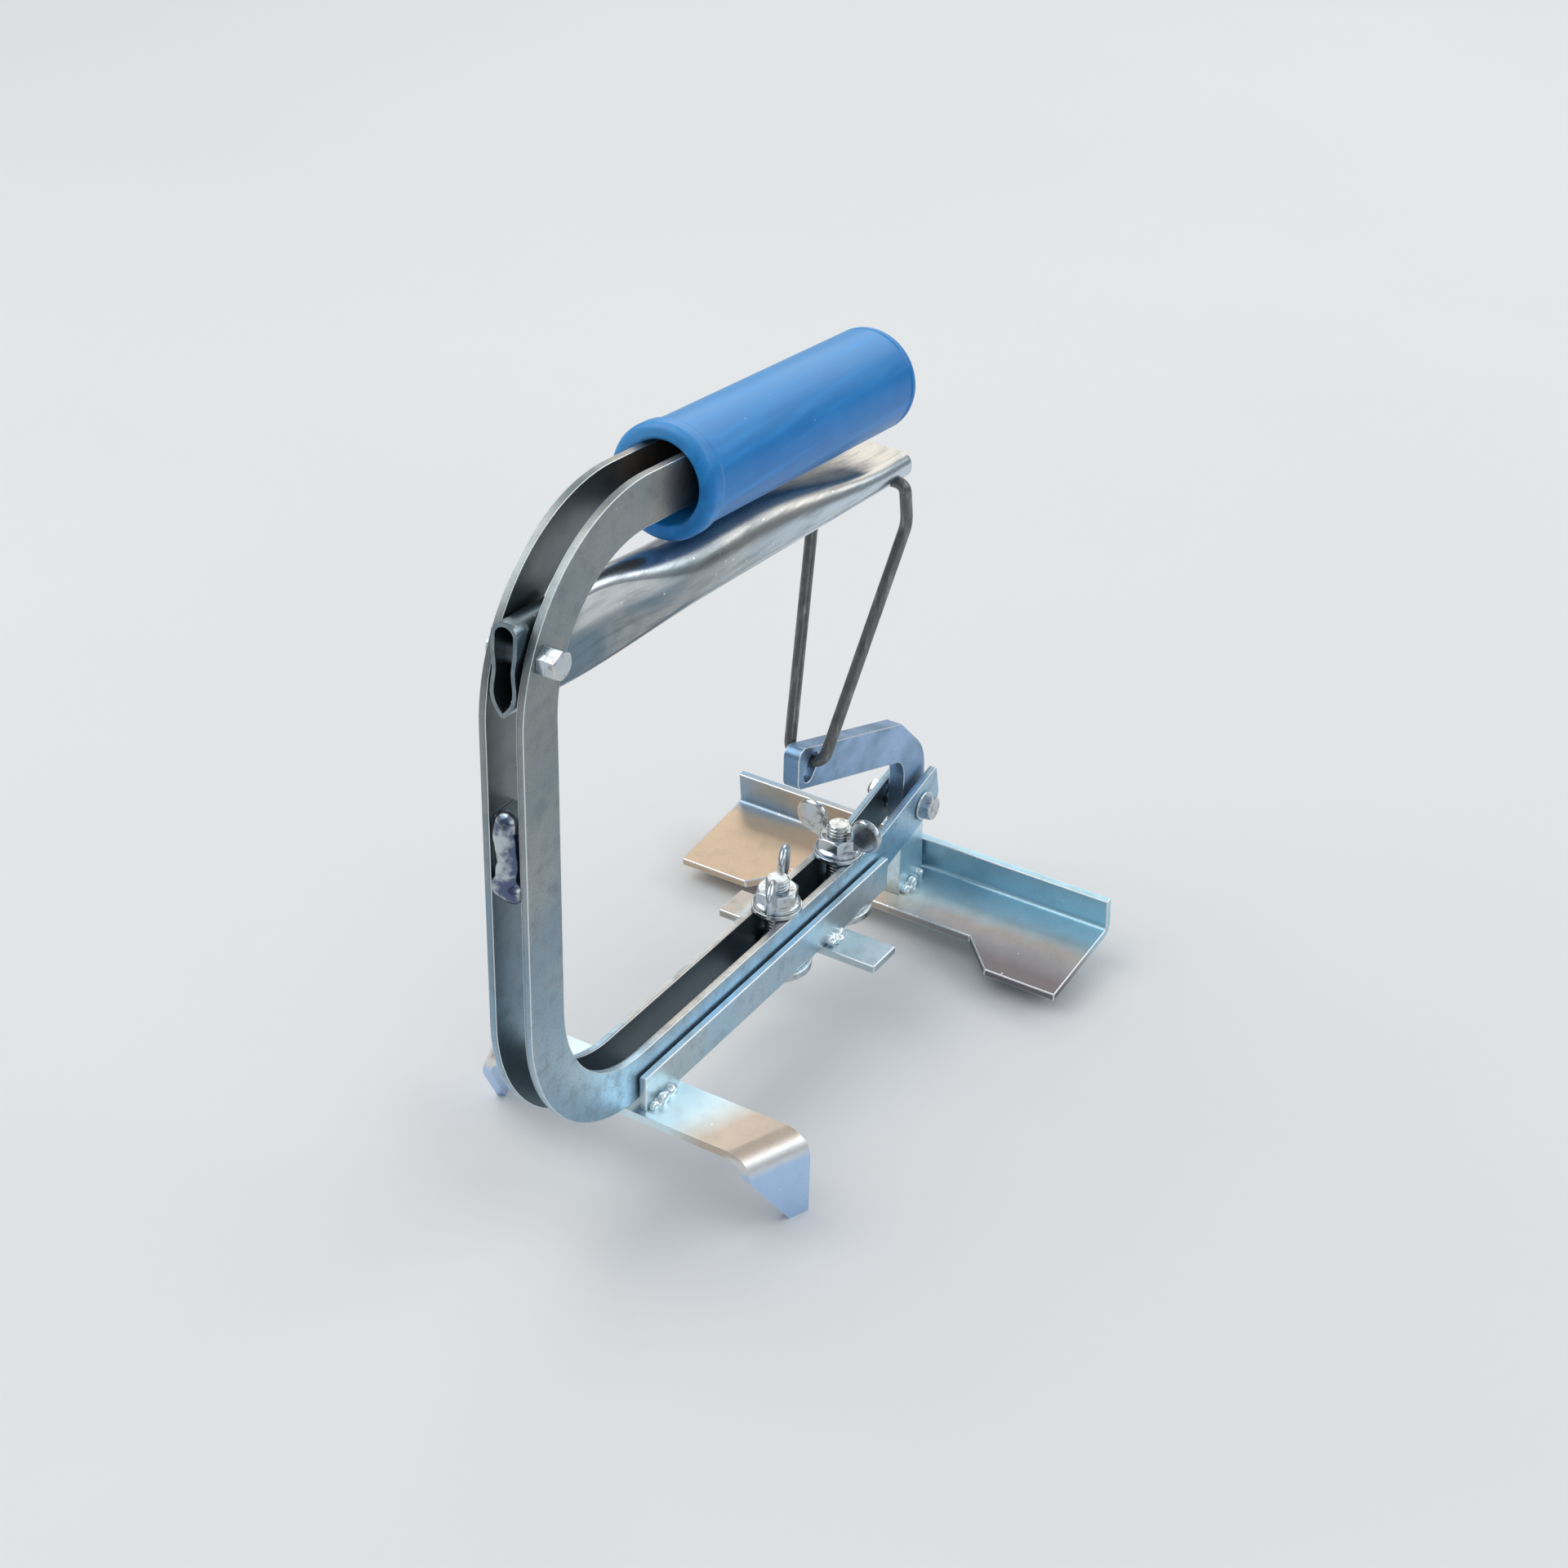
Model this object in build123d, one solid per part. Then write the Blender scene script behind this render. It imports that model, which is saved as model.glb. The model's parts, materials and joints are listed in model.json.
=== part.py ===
# Paving block laying clamp: a two-cheek flat-bar frame with a sleeved handle, a squeeze lever bent
# from flattened tube, a wire link and a rocker that pulls the rear jaw in, and a front jaw carriage
# that slides along the base and is locked with two wing nuts.
# Millimetres. X to the right, Y to the rear, Z up. While the pieces are built, Y starts at the front
# of the column and Z at the underside of the jaw strips, where the clamp sits on the blocks.
import os
from math import cos, pi, radians, sin, tan

from build123d import *

# Clearances and fits
PIVOT_FIT = 0.06          # radial running fit of a bush in its hole
THREAD_FIT = 0.05         # radial play of a wing nut on its bolt
BOLT_PLAY = 0.10          # radial play of a bolt in a plate or bush
SLIDE_GAP = 3.40          # base bar above the jaw strips
CLAMP_GAP = 0.30          # clamp washer above the base bar
BAR_PLAY = 0.80           # carriage side bar beside the base bar

# Frame: two flat-bar cheeks bent to the same line
PLATE_T = 2.5
PLATE_GAP = 10.0
BAR_W = 16.0
BEND_R = 40.0             # inner radius of both bends of the column
FRAME_TOP = 217.7
HANDLE_L = 185.8          # from the corner of the bar's centre line to the end inside the grip
HANDLE_FALL = 5.5         # degrees that the handle falls towards the rear
KNEE_L = 40.5             # rear length of the base that rises towards the rocker
KNEE_R = 40.0
RISE_DEG = 13.5
BASE_REACH = 241.5
REAR_CORNER_R = 6.0
BAR_EDGE_R = 1.0

# Spacer and weld that join the cheeks on the column
SPACER_D = 10.0
SPACER_H = 23.0
SPACER_SET = 2.0          # set back from the column's front
SPACER_Z = 122.2
COLUMN_WELD_OUT = 4.5
COLUMN_WELD_H = 30.0

# Grip sleeve
GRIP_L = 119.5
GRIP_D = 33.0
GRIP_CAP_T = 3.0
GRIP_END_R = 3.0
COLLAR_D = 35.0
COLLAR_L = 6.0
GRIP_DROP = 2.0           # sleeve's axis below the handle bar's centre line
GRIP_FIT = 0.02           # radial room over the cheeks' upper corners

# Lever: round tube pressed flat upright at the pivot and level at the tail
TUBE_D = 21.3
TUBE_WALL = 1.3
FLAT_T = 9.0              # thickness over both walls where the tube is flat
LEVER_DROP = 35.0         # pivot below the frame's top
LEVER_AHEAD = 2.6         # pivot ahead of the bar's centre line
LEVER_AXIS_DROP = 2.5     # tube's axis below the pivot
LEVER_FALL = 4.2
MOUTH_L = 8.0             # pivot to the open front end
TAIL_L = 188.5            # pivot to the rear end
WIRE_HOLE_IN = 9.0        # wire hole to the rear end
WIRE_HOLE_DROP = 2.2      # wire hole below the tube's axis
FRONT_FLAT_L = 27.0
FRONT_BLEND_L = 51.0
REAR_FLAT_L = 12.0
REAR_BLEND_L = 70.0
FLAT_TURN = 8.0           # half angle, in degrees, of the arc on each flat side
BLEND_STEPS = 7

# Wire link
WIRE_D = 4.0
WIRE_FIT = 0.05
WIRE_TAIL_X = 8.0
WIRE_TOP_X = 17.0
WIRE_FOOT_X = 6.4
WIRE_KINK_BACK = 2.5
WIRE_KINK_DOWN = 14.5
WIRE_TOP_R = 3.0
WIRE_KINK_R = 12.0
WIRE_FOOT_R = 5.0

# Rocker
ROCKER_T = 6.0
ROCKER_END = 10.5         # pivot ahead of the base's rear end
ROCKER_Z = 20.2
ARM_W = 14.5
ARM_RISE = 19.4
ARM_REACH = 78.5          # arm's front end ahead of the pivot
HEEL_UP = 30.6            # where the arm's top line meets the leg's back line, above the pivot
HEEL_CUT = 17.6           # length of the slanted heel along Y
HEEL_DROP = 17.6          # height of the slanted heel
LEG_BACK = 7.5
LEG_FRONT = 6.8
ARM_HEEL_R = 4.0
LEG_HEEL_R = 20.0
ARM_INSIDE_R = 9.0
ARM_TOE_R = 3.5
EYE_W = 6.6
EYE_RUN = 4.0
EYE_TILT = 49.0
EYE_IN = 8.0              # eye's middle behind the arm's front end
EYE_SLACK = 0.1           # wire bar above the middle of the eye's upper end

# Rear jaw: angle bent from strip
JAW_L = 152.0
JAW_T = 3.0
JAW_LEG = 39.5
JAW_FLANGE = 12.1
JAW_IN_R = 1.5
JAW_TILT = 6.5
JAW_BEND_BACK = 12.5      # inside corner behind the rocker's pivot
JAW_BEND_DROP = 13.5      # inside corner below the seat plane
ROCKER_FOOT_IN = 2.2
ROCKER_FOOT_L = 17.0
NOTCH_HALF = 36.0
NOTCH_D = 13.0

# Front jaw: strip with an ear bent down at each end
STRIP_T = 3.0
STRIP_W = 21.0
STRIP_LIP = 2.2           # strip ahead of the side bars' front ends
EAR_FRONT_X = 41.5
EAR_REAR_X = 50.0
EAR_BEND_R = 5.5
EAR_START = 2.0           # ear's lower edge at its front end, below the strip
EAR_DROP = 27.0           # ear's tip below the strip
EAR_TIP_W = 4.0

# Carriage
SIDE_T = 2.5
SIDE_H = 12.5
SIDE_L = 148.5
SIDE_CLEAR = 24.0         # rear ends of the side bars ahead of the rocker pivot's washers
CROSS_L = 61.5
CROSS_W = 14.5
CLAMP_REAR_IN = 16.0      # rear clamp bolt ahead of the side bars' rear ends
CLAMP_HEAD_GAP = 0.25     # clamp bolt's head beside the cross strip

# Clamp bolts with flat heads, washers and wing nuts
CLAMP_D = 8.0
CLAMP_HEAD_D = 24.5
CLAMP_BOSS_D = 15.0
CLAMP_BOSS_GAP = 0.3      # boss below the cheeks
CLAMP_HEAD_T = 2.8
CLAMP_NECK_H = 8.0
CLAMP_END = 4.2           # thread standing out above the nut's body
CLAMP_WASHER_D = 17.0
CLAMP_WASHER_BORE = 8.6
CLAMP_WASHER_T = 1.6
NUT_AF = 13.0
NUT_H = 6.2
NUT_SKIRT_D = 16.0
NUT_SKIRT_H = 2.2
WING_R = 6.1
WING_T = 3.2
WING_OUT = 11.0
WING_UP = 9.2
WING_TURN_FRONT = 111.0
WING_TURN_REAR = -3.5

# Pivot bolts
PIVOT_D = 5.0
PIVOT_AF = 8.0
PIVOT_HEAD_H = 3.5
PIVOT_NUT_H = 4.0
PIVOT_END = 1.5
LEVER_COLLAR_H = 2.8      # hexagon under the lever bolt's head
LEVER_NUT_H = 1.6         # thin nut on the lever bolt
PIVOT_WASHER_D = 11.0
PIVOT_WASHER_T = 1.0
BUSH_D = 8.0
SPACER_PLAY = 0.15        # spacer ring beside the rocker

# Welds
WELD_LEG = 3.6
JAW_WELD_L = 13.0
STRIP_WELD_L = 14.0
CROSS_WELD_L = 12.0

# Worked out from the sizes above
rocker_y = BASE_REACH - ROCKER_END
knee_y = BASE_REACH - KNEE_L
cheek_out = PLATE_GAP / 2 + PLATE_T
base_low = STRIP_T + SLIDE_GAP
base_top = base_low + BAR_W
bend_mid_r = BEND_R + BAR_W / 2
column_mid = BAR_W / 2
handle_dir = Vector(0, cos(radians(HANDLE_FALL)), -sin(radians(HANDLE_FALL)))
upper_bend_z = FRAME_TOP - BEND_R - BAR_W
handle_corner_z = upper_bend_z + bend_mid_r * tan(radians(90 + HANDLE_FALL) / 2)
upper_bend_y = BAR_W + BEND_R
lever_pivot_z = FRAME_TOP - LEVER_DROP
lever_rise = lever_pivot_z - upper_bend_z
lever_pivot_y = upper_bend_y - (bend_mid_r**2 - lever_rise**2) ** 0.5 - LEVER_AHEAD
lever_at = Pos(0, lever_pivot_y, lever_pivot_z) * Rot(-LEVER_FALL, 0, 0)
wire_hole_l = TAIL_L - WIRE_HOLE_IN
wire_hole_z = -LEVER_AXIS_DROP - WIRE_HOLE_DROP
lever_cos = cos(radians(LEVER_FALL))
lever_sin = sin(radians(LEVER_FALL))
wire_top_y = lever_pivot_y + wire_hole_l * lever_cos + wire_hole_z * lever_sin
wire_top_z = lever_pivot_z - wire_hole_l * lever_sin + wire_hole_z * lever_cos
arm_slope = tan(radians(ARM_RISE))
arm_h = ARM_W / cos(radians(ARM_RISE))
arm_toe = rocker_y - ARM_REACH
leg_back = rocker_y + LEG_BACK
eye_dir = Vector(cos(radians(EYE_TILT)), sin(radians(EYE_TILT)))
eye_mid_z = ROCKER_Z + HEEL_UP + (leg_back - arm_toe - EYE_IN) * arm_slope - arm_h / 2
eye_mid = Vector(arm_toe + EYE_IN, eye_mid_z)
eye_top = eye_mid + eye_dir * (EYE_RUN / 2)
wire_pull = (Vector(wire_top_y, wire_top_z) - eye_top).normalized()
wire_foot = eye_top + wire_pull * EYE_SLACK
jaw_bend_y = rocker_y + JAW_BEND_BACK
jaw_sin = sin(radians(JAW_TILT))
jaw_cos = cos(radians(JAW_TILT))
jaw_plane = Plane((0, jaw_bend_y, -JAW_BEND_DROP), x_dir=(0, jaw_cos, jaw_sin), z_dir=(1, 0, 0))
floor_z = -EAR_DROP
jaw_front_y = jaw_bend_y - JAW_LEG * jaw_cos
jaw_back_y = jaw_bend_y + JAW_T + JAW_IN_R * (1 - jaw_cos - jaw_sin)
front_y = min(0.0, SPACER_SET - COLUMN_WELD_OUT)
side_in = cheek_out + BAR_PLAY
side_rear = rocker_y - PIVOT_WASHER_D / 2 - SIDE_CLEAR
side_y = side_rear - SIDE_L
strip_y = side_y - STRIP_LIP
clamp_rear_y = side_rear - CLAMP_REAR_IN
clamp_pitch = CROSS_W + CLAMP_HEAD_D + 2 * CLAMP_HEAD_GAP
clamp_front_y = clamp_rear_y - clamp_pitch
washer_low = base_top + CLAMP_GAP
nut_low = washer_low + CLAMP_WASHER_T
bolt_seat = STRIP_T
cross_y = (clamp_front_y + clamp_rear_y) / 2
to_part_frame = Pos(0, -(front_y + jaw_back_y) / 2, -floor_z)


def side_plate(outline, thickness):
    """Plate of the given thickness about the mid-plane, from an outline in Y and Z."""
    return extrude(make_face(Plane.YZ * outline), amount=thickness / 2, both=True)


def cross_hole(y, z, radius, length):
    """Cylinder along X through a point of the side view."""
    return Pos(0, y, z) * Rot(0, 90, 0) * Cylinder(radius, length)


def beside(points, shift):
    """Corner points of a line of flat bar, moved sideways by shift (left is positive)."""
    moved = []
    for i, point in enumerate(points):
        before = points[max(i - 1, 0)]
        after = points[min(i + 1, len(points) - 1)]
        into = (point - before if i > 0 else after - point).normalized()
        out = (after - point if i < len(points) - 1 else point - before).normalized()
        normal_in = Vector(-into.Y, into.X)
        normal_out = Vector(-out.Y, out.X)
        miter = (normal_in + normal_out).normalized()
        moved.append(point + miter * (shift / miter.dot(normal_in)))
    return moved


def cheek_plate():
    """One cheek of the frame in the mid-plane: base, column and handle in one bent bar."""
    mid_z = base_low + BAR_W / 2
    rise = tan(radians(RISE_DEG))
    handle_end = Vector(column_mid, handle_corner_z) + Vector(handle_dir.Y, handle_dir.Z) * HANDLE_L
    line = [
        Vector(BASE_REACH, mid_z + KNEE_L * rise),
        Vector(knee_y, mid_z),
        Vector(column_mid, mid_z),
        Vector(column_mid, handle_corner_z),
        handle_end,
    ]
    outer = beside(line, BAR_W / 2)
    inner = beside(line, -BAR_W / 2)
    outer_r = [REAR_CORNER_R, KNEE_R + BAR_W, BEND_R + BAR_W, BEND_R + BAR_W, BAR_EDGE_R]
    inner_r = [BAR_EDGE_R, BEND_R, BEND_R, KNEE_R, BAR_EDGE_R]
    outline = FilletPolyline(*outer, *reversed(inner), radius=outer_r + inner_r, close=True)
    plate = side_plate(outline, PLATE_T)
    hole_r = PIVOT_D / 2 + BOLT_PLAY
    plate -= cross_hole(lever_pivot_y, lever_pivot_z, hole_r, 2 * PLATE_T)
    plate -= cross_hole(rocker_y, ROCKER_Z, hole_r, 2 * PLATE_T)
    return plate


def column_spacer():
    """Block between the cheeks on the column."""
    return Pos(0, SPACER_SET + SPACER_D / 2, SPACER_Z) * Box(PLATE_GAP, SPACER_D, SPACER_H)


def column_weld():
    """Upright weld that closes the gap ahead of the spacer."""
    half = PLATE_GAP / 2
    face_y = SPACER_SET - COLUMN_WELD_OUT
    arc = ThreePointArc((-half, SPACER_SET), (0, face_y), (half, SPACER_SET))
    bead = extrude(make_face(arc + Line((half, SPACER_SET), (-half, SPACER_SET))), amount=COLUMN_WELD_H)
    ends = bead.faces().filter_by(Axis.Z)
    bead = fillet([e for f in ends for e in f.edges().filter_by(GeomType.CIRCLE)], COLUMN_WELD_OUT / 3)
    return Pos(0, 0, SPACER_Z - COLUMN_WELD_H / 2) * bead


def grip():
    """Moulded sleeve over the handle, with a rounded collar in front and a closed rear end."""
    bore_r = (cheek_out**2 + (BAR_W / 2 + GRIP_DROP) ** 2) ** 0.5 + GRIP_FIT
    sleeve_r = GRIP_D / 2
    collar_r = COLLAR_D / 2
    bead_r = (collar_r - bore_r) / 2
    depth = GRIP_L - GRIP_CAP_T
    profile = FilletPolyline(
        (bore_r, 0),
        (collar_r, 0),
        (collar_r, COLLAR_L),
        (sleeve_r, COLLAR_L + 2 * (collar_r - sleeve_r)),
        (sleeve_r, GRIP_L),
        (0, GRIP_L),
        (0, depth),
        (bore_r, depth),
        radius=[bead_r / 2, bead_r, COLLAR_D - GRIP_D, 2 * (COLLAR_D - GRIP_D), GRIP_END_R, 0, 0, 0],
        close=True,
    )
    sleeve = revolve(make_face(Plane.XZ * profile), Axis.Z)
    handle_end = Vector(0, column_mid, handle_corner_z) + handle_dir * HANDLE_L
    handle_up = Vector(0, -handle_dir.Z, handle_dir.Y)
    front = handle_end - handle_dir * depth - handle_up * GRIP_DROP
    return Plane(front, x_dir=(1, 0, 0), z_dir=handle_dir) * sleeve


def tube_section(flat_front, flat_rear, inset):
    """Four-arc oval of the lever tube: round, or pressed flat upright or level, at constant girth."""
    flat = max(flat_front, flat_rear)
    short = TUBE_D - flat * (TUBE_D - FLAT_T)
    tall = short + pi * (TUBE_D - short) / 2
    half_x, half_z = (short / 2, tall / 2) if flat_front > flat_rear else (tall / 2, short / 2)
    turn = radians(45 + (45 - FLAT_TURN) * (flat_rear - flat_front))
    shift = (half_x - half_z) / (sin(turn) + cos(turn) - 1)
    side_r = half_x - shift * cos(turn) - inset
    joint_x = shift * cos(turn) + side_r * cos(turn)
    joint_z = side_r * sin(turn)
    half_x -= inset
    half_z -= inset
    right = ThreePointArc((joint_x, -joint_z), (half_x, 0), (joint_x, joint_z))
    top = ThreePointArc((joint_x, joint_z), (0, half_z), (-joint_x, joint_z))
    left = ThreePointArc((-joint_x, joint_z), (-half_x, 0), (-joint_x, -joint_z))
    bottom = ThreePointArc((-joint_x, -joint_z), (0, -half_z), (joint_x, -joint_z))
    return Face(Wire([arc.edge() for arc in (right, top, left, bottom)]))


def smooth_step(t):
    """Ease from 0 to 1, held outside that range."""
    t = min(max(t, 0.0), 1.0)
    return t * t * (3 - 2 * t)


def tube_skin(inset, extra):
    """Closed skin of the lever tube along its own axis, from the mouth to the tail."""
    rear_blend_at = TAIL_L - REAR_FLAT_L - REAR_BLEND_L
    shares = [i / BLEND_STEPS for i in range(BLEND_STEPS + 1)]
    stations = [-MOUTH_L - extra]
    stations += [FRONT_FLAT_L + FRONT_BLEND_L * share for share in shares]
    stations += [rear_blend_at + REAR_BLEND_L * share for share in shares]
    stations += [TAIL_L + extra]
    sections = []
    for along in reversed(stations):
        flat_front = 1 - smooth_step((along - FRONT_FLAT_L) / FRONT_BLEND_L)
        flat_rear = smooth_step((along - rear_blend_at) / REAR_BLEND_L)
        sections.append(Plane.XZ.offset(-along) * tube_section(flat_front, flat_rear, inset))
    return loft(sections, ruled=True)


def lever_tube():
    """Squeeze lever: open tube with pivot holes in its flat front and wire holes in its flat tail."""
    tube = Pos(0, 0, -LEVER_AXIS_DROP) * (tube_skin(0, 0) - tube_skin(TUBE_WALL, 1))
    tube -= cross_hole(0, 0, BUSH_D / 2 + PIVOT_FIT, 2 * TUBE_D)
    tube -= cross_hole(wire_hole_l, wire_hole_z, WIRE_D / 2 + WIRE_FIT, 2 * TUBE_D)
    return lever_at * tube


def link_wire():
    """Bent wire: two hooked ends in the lever's tail and a bar through the rocker's eye."""
    half = [
        Vector(WIRE_TAIL_X, wire_top_y, wire_top_z),
        Vector(WIRE_TOP_X, wire_top_y, wire_top_z),
        Vector(WIRE_TOP_X, wire_top_y + WIRE_KINK_BACK, wire_top_z - WIRE_KINK_DOWN),
        Vector(WIRE_FOOT_X, wire_foot.X, wire_foot.Y),
    ]
    other = [Vector(-p.X, p.Y, p.Z) for p in reversed(half)]
    bends = [WIRE_TOP_R, WIRE_KINK_R, WIRE_FOOT_R]
    path = FilletPolyline(*half, *other, radius=bends + bends[::-1])
    start = Plane(path @ 0, z_dir=path % 0)
    return sweep(start * Circle(WIRE_D / 2), path=path)


def rocker_plate():
    """Bent arm that carries the rear jaw: eye in front, pivot hole above the leg."""
    leg_front = rocker_y - LEG_FRONT
    foot_back = jaw_plane.from_local_coords(Vector(-ROCKER_FOOT_IN, 0))
    foot_front = jaw_plane.from_local_coords(Vector(-ROCKER_FOOT_IN - ROCKER_FOOT_L, 0))

    def upper(y):
        return ROCKER_Z + HEEL_UP + (leg_back - y) * arm_slope

    outline = FilletPolyline(
        (arm_toe, upper(arm_toe)),
        (leg_back - HEEL_CUT, upper(leg_back - HEEL_CUT)),
        (leg_back, upper(leg_back) - HEEL_DROP + HEEL_CUT * arm_slope),
        (foot_back.Y, foot_back.Z),
        (foot_front.Y, foot_front.Z),
        (leg_front, upper(leg_front) - arm_h),
        (arm_toe, upper(arm_toe) - arm_h),
        radius=[ARM_TOE_R, ARM_HEEL_R, LEG_HEEL_R, 0, 0, ARM_INSIDE_R, ARM_TOE_R],
        close=True,
    )
    plate = side_plate(outline, ROCKER_T)
    plate -= cross_hole(rocker_y, ROCKER_Z, BUSH_D / 2 + PIVOT_FIT, 2 * ROCKER_T)
    slot = Pos(eye_mid.X, eye_mid.Y) * Rot(0, 0, EYE_TILT) * SlotCenterToCenter(EYE_RUN, EYE_W)
    return plate - extrude(Plane.YZ * slot, amount=ROCKER_T, both=True)


def rear_jaw():
    """Angle strip under the rocker, notched to take the wide ends of a pair of blocks."""
    outline = FilletPolyline(
        (-JAW_LEG, 0),
        (0, 0),
        (0, JAW_FLANGE),
        (JAW_T, JAW_FLANGE),
        (JAW_T, -JAW_T),
        (-JAW_LEG, -JAW_T),
        radius=[0, JAW_IN_R, 0, 0, JAW_IN_R + JAW_T, 0],
        close=True,
    )
    strip = extrude(make_face(jaw_plane * outline), amount=JAW_L / 2, both=True)
    notch_back = jaw_front_y + NOTCH_D
    beyond = JAW_T
    mouth = NOTCH_HALF + NOTCH_D + beyond
    notch = Polyline(
        (-mouth, jaw_front_y - beyond),
        (mouth, jaw_front_y - beyond),
        (NOTCH_HALF, notch_back),
        (-NOTCH_HALF, notch_back),
        close=True,
    )
    cut = extrude(Pos(0, 0, floor_z - JAW_T) * make_face(notch), amount=-floor_z)
    return strip - cut


def weld_bead(length):
    """Convex corner weld along Y, in the corner between a floor (Z = 0) and a wall (X = 0)."""
    crown = WELD_LEG * 0.62
    arc = ThreePointArc((WELD_LEG, 0), (crown, crown), (0, WELD_LEG))
    corner = Polyline((0, WELD_LEG), (0, 0), (WELD_LEG, 0))
    return extrude(make_face(Plane.XZ * (arc + corner)), amount=length / 2, both=True)


def both_sides(shape):
    """The shape and its mirror image across the mid-plane, as separate solids."""
    return Compound(children=[shape, mirror(shape, about=Plane.YZ)])


def rear_jaw_welds():
    """Weld along each side of the rocker's foot on the jaw."""
    mid = jaw_plane.from_local_coords(Vector(-ROCKER_FOOT_IN - ROCKER_FOOT_L / 2, 0))
    seat = Pos(ROCKER_T / 2, mid.Y, mid.Z) * Rot(JAW_TILT, 0, 0)
    return both_sides(seat * weld_bead(JAW_WELD_L))


def front_jaw_strip():
    """Strip across the blocks with a three-cornered ear bent down along a slanted line at each end."""
    front = strip_y
    rear = strip_y + STRIP_W
    flat = Polyline(
        (-EAR_FRONT_X, front), (EAR_FRONT_X, front), (EAR_REAR_X, rear), (-EAR_REAR_X, rear), close=True
    )
    strip = extrude(make_face(flat), amount=STRIP_T)
    along = Vector(EAR_REAR_X - EAR_FRONT_X, STRIP_W, 0)
    length = along.length
    along = along.normalized()
    out = Vector(along.Y, -along.X, 0)
    far = EAR_BEND_R + STRIP_T
    bend = Plane((EAR_FRONT_X, front, 0), x_dir=out, z_dir=-along)
    profile = FilletPolyline(
        (0, STRIP_T),
        (far, STRIP_T),
        (far, floor_z),
        (EAR_BEND_R, floor_z),
        (EAR_BEND_R, 0),
        (0, 0),
        radius=[0, far, 0, 0, EAR_BEND_R, 0],
        close=True,
    )
    flap = extrude(bend * make_face(profile), amount=length * 2, both=True)
    # The flap's side view along the bend line: upright rear edge, slanted lower edge, small flat tip
    slope = Plane((EAR_FRONT_X, front, 0), x_dir=along, z_dir=out)
    reach = length + far
    side = Polyline(
        (-far, STRIP_T),
        (reach, STRIP_T),
        (reach, floor_z),
        (length - EAR_TIP_W, floor_z),
        (0, -EAR_START),
        (-far, -EAR_START),
        close=True,
    )
    flap &= extrude(slope * make_face(side), amount=far)
    band = Pos(EAR_FRONT_X, (front + rear) / 2, 0) * Box(4 * EAR_FRONT_X, STRIP_W, 4 * -floor_z)
    flap &= band
    return strip + flap + mirror(flap, about=Plane.YZ)


def side_bar():
    """Right side bar of the carriage, standing on the strips."""
    centre_z = STRIP_T + SIDE_H / 2
    return Pos(side_in + SIDE_T / 2, side_y + SIDE_L / 2, centre_z) * Box(SIDE_T, SIDE_L, SIDE_H)


def cross_strip():
    """Short strip under both side bars, between the clamp bolts."""
    return Pos(0, cross_y, STRIP_T / 2) * Box(CROSS_L, CROSS_W, STRIP_T)


def carriage_welds():
    """Welds along the outside of each side bar, on the front strip and on the cross strip."""
    wall = side_in + SIDE_T
    front = Pos(wall, strip_y + STRIP_W / 2, STRIP_T) * weld_bead(STRIP_WELD_L)
    cross = Pos(wall, cross_y, STRIP_T) * weld_bead(CROSS_WELD_L)
    pieces = [front, cross, mirror(front, about=Plane.YZ), mirror(cross, about=Plane.YZ)]
    return Compound(children=pieces)


def hexagon(across_flats, height):
    """Upright six-sided prism on Z = 0."""
    return extrude(RegularPolygon(across_flats / 2, 6, major_radius=False), amount=height)


def disc(diameter, height):
    """Upright cylinder on Z = 0."""
    return extrude(Circle(diameter / 2), amount=height)


def clamp_bolt(y):
    """Bolt with a flat round head under the side bars, a boss and a square neck between the cheeks."""
    thread_top = nut_low + NUT_H + CLAMP_END - bolt_seat
    bolt = Pos(0, 0, -CLAMP_HEAD_T) * disc(CLAMP_HEAD_D, CLAMP_HEAD_T)
    bolt += disc(CLAMP_BOSS_D, SLIDE_GAP - CLAMP_BOSS_GAP)
    bolt += extrude(Rectangle(CLAMP_D, CLAMP_D), amount=CLAMP_NECK_H)
    bolt += disc(CLAMP_D, thread_top)
    return Pos(0, y, bolt_seat) * bolt


def clamp_washer(y):
    """Washer over the top edges of both cheeks."""
    ring = disc(CLAMP_WASHER_D, CLAMP_WASHER_T) - disc(CLAMP_WASHER_BORE, CLAMP_WASHER_T)
    return Pos(0, y, washer_low) * ring


def wing_nut(y, turn):
    """Wing nut: six-sided body on a round skirt, and two round wings that rise outwards."""
    wing = Pos(WING_OUT, WING_UP) * Circle(WING_R)
    web = Polyline(
        (0, NUT_SKIRT_H), (WING_OUT, WING_UP - WING_R), (WING_OUT, WING_UP), (0, NUT_H), close=True
    )
    blade = extrude(Plane.XZ * (wing + make_face(web)), amount=WING_T / 2, both=True)
    nut = hexagon(NUT_AF, NUT_H) + disc(NUT_SKIRT_D, NUT_SKIRT_H)
    nut += blade + Rot(0, 0, 180) * blade
    nut -= disc(CLAMP_D + 2 * THREAD_FIT, WING_UP + 2 * WING_R)
    return Pos(0, y, nut_low) * Rot(0, 0, turn) * nut


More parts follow.
